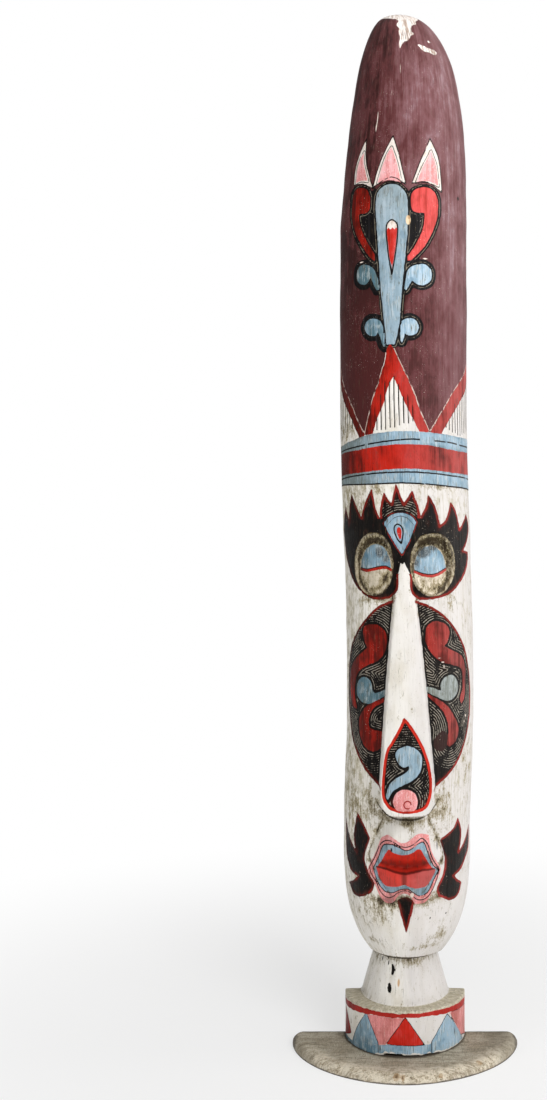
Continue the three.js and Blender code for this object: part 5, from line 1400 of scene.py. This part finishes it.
def build_plank():
    n = 220
    rows = []
    rim_x, rim_y = plank_row(0, n)
    along = np.concatenate([[0], np.cumsum(np.hypot(np.diff(rim_x), np.diff(rim_y)))])
    nick = np.maximum(0, wobble(along, along * 0, 81, 60, 4) - 0.45) * 3.0
    for zz in (0.0, 0.7, 2.0, 3.3):
        x, y = plank_row(0.35 * (zz < 0.5), n)
        rows.append((x, y, np.full(n + 1, zz), 0.0 + zz))
    for k in range(0, 15):
        a = k / 14 * math.pi / 2
        x, y = plank_row(EDGE_RUN * (1 - math.cos(a)), n)
        rows.append((x, y, np.full(n + 1, PLANK_THICK - EDGE_RISE + EDGE_RISE * math.sin(a)), 4 + 22 * a / (math.pi / 2)))
    for k in range(1, 40):
        t = k / 40
        x, y = plank_row(EDGE_RUN, n)
        x = x * (1 - t)
        y = BACK - (BACK - y) * (1 - t)
        rows.append((x, y, np.full(n + 1, PLANK_THICK), 26 + 160 * t))
    px = np.array([r[0] for r in rows]); py = np.array([r[1] for r in rows]); pz = np.array([r[2] for r in rows])
    run = np.array([r[3] for r in rows])[:, None] + 0 * px
    s_ = np.broadcast_to(along, px.shape)
    # a hand-planed board: shallow hollows, a bruised edge, all of it inside the board's own size
    low = 0.55 * np.abs(wobble(px * 0.5, py, 83, 90, 3)) + 0.35 * np.abs(wobble(px * 0.15, py, 84, 11, 2))
    inner = smooth(0.0, 6.0, pz) * smooth(2, 10, BACK - py)
    pz = pz - low * smooth(4, 14, pz)
    edge = smooth(1.0, 5.0, pz) * smooth(18.0, 12.0, pz)
    bite = nick[None, :] * edge + 0.5 * np.abs(wobble(s_, pz * 3, 85, 24, 3)) * edge
    cx, cy = -px / 208.0, (BACK - 40 - py) / 176.0
    ln = np.maximum(np.hypot(cx, cy), 1e-3)
    px = px + cx / ln * bite * smooth(0, 12, BACK - py)
    py = np.minimum(py + cy / ln * bite * smooth(0, 12, BACK - py), BACK)
    nr = len(rows)
    grid = np.arange(nr * (n + 1)).reshape(nr, n + 1)
    px = px * 0.9998
    pts = np.stack([px.ravel(), py.ravel(), pz.ravel()], 1)
    pts = np.concatenate([pts, [[0, BACK, PLANK_THICK - 0.3], [0, BACK, 0.0]]])
    mid_top, mid_low = len(pts) - 2, len(pts) - 1
    faces = []
    for r in range(nr - 1):
        for c in range(n):
            faces.append((grid[r, c], grid[r, c + 1], grid[r + 1, c + 1], grid[r + 1, c]))
    for c in range(n):
        faces.append((grid[-1, c], grid[-1, c + 1], mid_top))
        faces.append((grid[0, c + 1], grid[0, c], mid_low))
    # the flat back edge: one face from underside to top along the back line
    left, right = grid[:, 0], grid[:, -1]
    ring_ = list(left) + [mid_top] + list(right[::-1]) + [mid_low]
    faces.append(tuple(ring_[::-1][::-1]))
    mesh = bpy.data.meshes.new("base_plank_visual")
    mesh.from_pydata([tuple(p) for p in pts / 1000.0], [], faces)
    mesh.update()
    a = mesh.attributes.new("unroll", "FLOAT_VECTOR", "POINT")
    values = np.zeros((len(pts), 3), np.float32)
    values[:, 0], values[:, 1], values[:, 2] = pts[:, 0], pts[:, 1], pts[:, 2]
    a.data.foreach_set("vector", values.ravel())
    n_all = len(pts)

    def put(name, field, tail=0.0):
        at_ = mesh.attributes.new(name, "FLOAT", "POINT")
        v = np.full(n_all, tail, np.float32)
        v[:nr * (n + 1)] = np.broadcast_to(field, px.shape).ravel()
        at_.data.foreach_set("value", v)
    put("k_height", pz, 9.0)
    put("k_edge", run, 180.0)
    put("k_along", s_)
    gap_ = np.hypot(px, BACK - py) - DRUM_R
    put("k_drum", gap_, -60.0)
    rust = np.zeros(px.shape)
    for rx, ry, rr in RUST:
        rust = np.maximum(rust, 1.3 - np.hypot(px - rx, np.hypot((py - ry) * 0.9, (pz - 12) * 0.8)) / rr)
    put("k_rust", rust)
    mesh.polygons.foreach_set("use_smooth", [True] * len(faces))
    mesh.set_sharp_from_angle(angle=math.radians(48))
    obj = bpy.data.objects.new("base_plank_visual", mesh)
    bpy.context.scene.collection.objects.link(obj)
    return obj


RUST = ((-144, -8, 6.5), (-160, 6, 4), (-70, -66, 3.5), (2, -60, 4.0), (-14, -84, 8.0), (-4, -85, 6), (62, -76, 5.0), (128, -34, 7.5), (131, -18, 4))


def weathered_board():
    g = Shade("weathered_wood")
    uv = g.attr("unroll", True)
    h, edge = g.attr("k_height"), g.attr("k_edge")
    obj = uv
    fibre = g.noise(obj, 26, 1.5, 3, 2.0, 0.62, 14, dims="3D")       # the board's grain runs along X
    figure = g.noise(obj, 110, 9, 3, 6.0, 0.6, 60, dims="3D")
    blotch = g.noise(obj, 46, 30, 3, 4.0, 0.6, 40, dims="3D")
    patch = g.noise(obj, 12, 9, 3, 9.0, 0.65, 9, dims="3D")
    speck = g.noise(obj, 2.6, 2.6, 2, 11.0, 0.6, 2.6, dims="3D")
    cross = g.noise(obj, 1.3, 13, 3, 15.0, 0.6, 16, dims="3D")          # faint saw marks across it
    c = g.over(C(178, 169, 150), g.ramp(blotch * 0.6 + figure * 0.4, 0.42, 0.60), C(152, 142, 121))
    c = g.over(c, g.ramp(fibre * 0.80 + figure * 0.20, 0.50, 0.62) * 0.62, C(98, 88, 72))
    c = g.over(c, g.ramp(cross, 0.54, 0.64) * 0.50, C(96, 88, 73))
    dash = g.noise(obj, 10, 1.1, 2, 23.0, 0.6, 8, dims="3D")
    tick = g.noise(obj, 1.0, 8, 2, 29.0, 0.6, 8, dims="3D")
    c = g.over(c, g.ramp(dash, 0.57, 0.64) * 0.55, C(66, 57, 44))
    c = g.over(c, g.ramp(dash, 0.40, 0.34) * 0.45, C(208, 201, 184))
    c = g.over(c, g.ramp(tick, 0.60, 0.66) * 0.50, C(74, 66, 52))
    c = g.over(c, g.ramp(fibre * 0.5 + cross * 0.5, 0.45, 0.37) * 0.7, C(196, 188, 170))
    c = g.over(c, g.ramp(patch, 0.60, 0.78) * 0.4, C(190, 182, 166))
    c = g.over(c, g.ramp(at_x(g, uv) + (patch - 0.5) * 50, 118, 165) * 0.42, C(96, 88, 72))
    # pale front edge: worn, and lightened as painted light where the rounded edge turns to the light
    front = g.ramp(edge + (patch - 0.5) * 26, 44, 12)
    pale = g.over(C(220, 210, 190), g.ramp(patch * 0.6 + speck * 0.4, 0.44, 0.62), C(176, 162, 138))
    pale = g.over(pale, g.ramp(fibre * 0.5 + blotch * 0.5, 0.50, 0.62) * 0.65, C(132, 118, 96))
    pale = g.over(pale, g.ramp(speck * 0.6 + patch * 0.4, 0.57, 0.65) * 0.75, C(96, 82, 62))
    pale = g.over(pale, g.ramp(dash, 0.60, 0.66) * 0.5, C(110, 96, 74))
    ends = g.ramp(g.abs(at_x(g, uv)) + (patch - 0.5) * 40, 178, 150)
    front = front * (ends * 0.75 + 0.25)
    c = g.over(c, front * g.ramp(patch + blotch * 0.6, 0.45, 0.75) * 0.5 + front * 0.45, pale)
    # painted shade at the board's two ends
    tip = g.ramp(g.abs(at_x(g, uv)) + (patch - 0.5) * 12, 196, 203)
    c = g.over(c, tip * 0.7, C(62, 54, 44))
    # painted shadow along the top of the back edge
    c = g.over(c, g.ramp(at_y(g, uv) + (patch - 0.5) * 2.0, 83.6, 85.6) * g.ramp(h, 8.0, 12.0) * 0.75, C(48, 40, 32))
    # painted shade on the board around the drum's foot
    c = g.over(c, g.ramp(g.attr("k_drum") + (patch - 0.5) * 8, 5.0, 0.5) * 0.8, C(72, 62, 50))
    c = g.over(c, g.ramp(g.attr("k_rust") + (patch - 0.5) * 0.9 + (speck - 0.5) * 0.5, 0.35, 0.75) * 0.55, C(156, 122, 76))
    c = g.over(c, g.ramp(g.attr("k_rust") + (patch - 0.5) * 0.9 + (speck - 0.5) * 0.6, 0.86, 1.15) * 0.80, C(84, 56, 32))
    # painted shade along the board's lowest edge, over the floor
    c = g.over(c, g.ramp(h + (patch - 0.5) * 5.0, 3.4, 1.4) * 0.85, C(58, 50, 44))
    c = g.over(c, g.ramp(speck, 0.70, 0.75) * g.ramp(blotch, 0.45, 0.55) * 0.8, C(60, 50, 40))
    height = fibre * 0.6 + figure * 0.4 + patch * 0.4
    return g.finish(c, g.ramp(patch, 0.2, 0.8, 0.55, 0.82), height, 0.0010, 0.35)


pole = build_pole()
pole.data.materials.append(painted_wood())
pole.data.materials.append(raw_back())
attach(pole, "root")
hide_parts("carved_pole")

plank = build_plank()
plank.data.materials.append(weathered_board())
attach(plank, "root")
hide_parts("base_plank")

# ---------------------------------------------------------------------- floor and light
def stage_floor():
    m = bpy.data.meshes.new("floor")
    n, radius = 96, 40.0
    ring_ = [(radius * math.cos(2 * math.pi * k / n), radius * math.sin(2 * math.pi * k / n), 0.0) for k in range(n)]
    m.from_pydata(ring_, [], [tuple(range(n))])
    m.update()
    o = bpy.data.objects.new("floor", m)
    bpy.context.scene.collection.objects.link(o)
    g = Shade("studio_floor")
    coord = g.node("ShaderNodeTexCoord")
    length = g.node("ShaderNodeVectorMath", operation="LENGTH")
    g.tree.links.new(coord.outputs["Object"], length.inputs[0])
    far = g.ramp(Val(g, length.outputs["Value"]), 0.25, 1.7, 0.55, 1.0)
    out_ = g.node("ShaderNodeOutputMaterial")
    diffuse = g.node("ShaderNodeBsdfDiffuse")
    diffuse.inputs["Color"].default_value = (0.90, 0.90, 0.895, 1)
    glow = g.node("ShaderNodeEmission")
    glow.inputs["Color"].default_value = (1, 1, 1, 1)
    glow.inputs["Strength"].default_value = 1.0
    mixer = g.node("ShaderNodeMixShader")
    g.put(far, mixer.inputs[0])
    g.tree.links.new(diffuse.outputs[0], mixer.inputs[1])
    g.tree.links.new(glow.outputs[0], mixer.inputs[2])
    g.tree.links.new(mixer.outputs[0], out_.inputs[0])
    m.materials.append(g.mat)
    return o


floor = stage_floor()
floor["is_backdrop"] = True


def area(name, place, aim, size, size_y, power, colour=(1, 1, 1)):
    light = bpy.data.lights.new(name, "AREA")
    light.shape = "RECTANGLE"
    light.size, light.size_y = size, size_y
    light.energy = power
    light.color = colour
    o = bpy.data.objects.new(name, light)
    o.location = place
    o.rotation_euler = (Vector(aim) - Vector(place)).to_track_quat("-Z", "Y").to_euler()
    bpy.context.scene.collection.objects.link(o)
    return o


area("key", (1.7, -2.9, 1.9), (0.0, -0.02, 0.95), 1.5, 2.2, 79)
area("top", (0.5, -0.8, 3.4), (0.0, 0.0, 1.2), 1.2, 1.0, 23)
area("side", (2.6, -0.2, 1.4), (0.0, 0.0, 0.95), 1.0, 2.2, 14)
area("fill", (-2.4, -1.4, 1.2), (0.0, 0.0, 0.9), 1.4, 2.0, 9)

world = bpy.data.worlds.new("studio")
bpy.context.scene.world = world
world.use_nodes = True
wt = world.node_tree
wt.nodes.clear()
wo = wt.nodes.new("ShaderNodeOutputWorld")
seen = wt.nodes.new("ShaderNodeBackground")
seen.inputs["Color"].default_value = (1, 1, 1, 1)
seen.inputs["Strength"].default_value = 1.0
lit = wt.nodes.new("ShaderNodeBackground")
lit.inputs["Color"].default_value = (1.0, 1.0, 1.0, 1)
tc = wt.nodes.new("ShaderNodeTexCoord")
sep = wt.nodes.new("ShaderNodeSeparateXYZ")
wt.links.new(tc.outputs["Generated"], sep.inputs[0])


def wmath(op, a, b):
    n = wt.nodes.new("ShaderNodeMath")
    n.operation = op
    for k, v in enumerate((a, b)):
        if isinstance(v, (int, float)):
            n.inputs[k].default_value = v
        else:
            wt.links.new(v, n.inputs[k])
    return n.outputs[0]


strength = wmath("ADD", wmath("MULTIPLY", sep.outputs[0], 0.15), wmath("MULTIPLY", sep.outputs[1], 0.12))
strength = wmath("ADD", strength, wmath("MULTIPLY", sep.outputs[2], 0.06))
strength = wmath("ADD", strength, 0.29)
wt.links.new(strength, lit.inputs["Strength"])
path = wt.nodes.new("ShaderNodeLightPath")
mixer = wt.nodes.new("ShaderNodeMixShader")
wt.links.new(path.outputs["Is Camera Ray"], mixer.inputs[0])
wt.links.new(lit.outputs[0], mixer.inputs[1])
wt.links.new(seen.outputs[0], mixer.inputs[2])
wt.links.new(mixer.outputs[0], wo.inputs[0])

scene = bpy.context.scene
scene.view_settings.view_transform = "Standard"
scene.view_settings.look = "None"

# ------------------------------------------------------------------------------ camera
cam = bpy.data.cameras.new("camera")
cam.sensor_fit = "AUTO"
cam.sensor_width = 36.0
cam.lens = 36.0 * 1062.0 / 1100.0
cam.shift_x = -(405.0 - 273.5) / 1100.0
cam.shift_y = 37.0 / 1100.0
cam.clip_end = 200.0
camera = bpy.data.objects.new("camera", cam)
camera.location = (0.0, (BACK - 1972.0) / 1000.0, 0.843)
camera.rotation_euler = (math.pi / 2, 0.0, 0.0)
scene.collection.objects.link(camera)
scene.camera = camera

low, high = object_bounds()
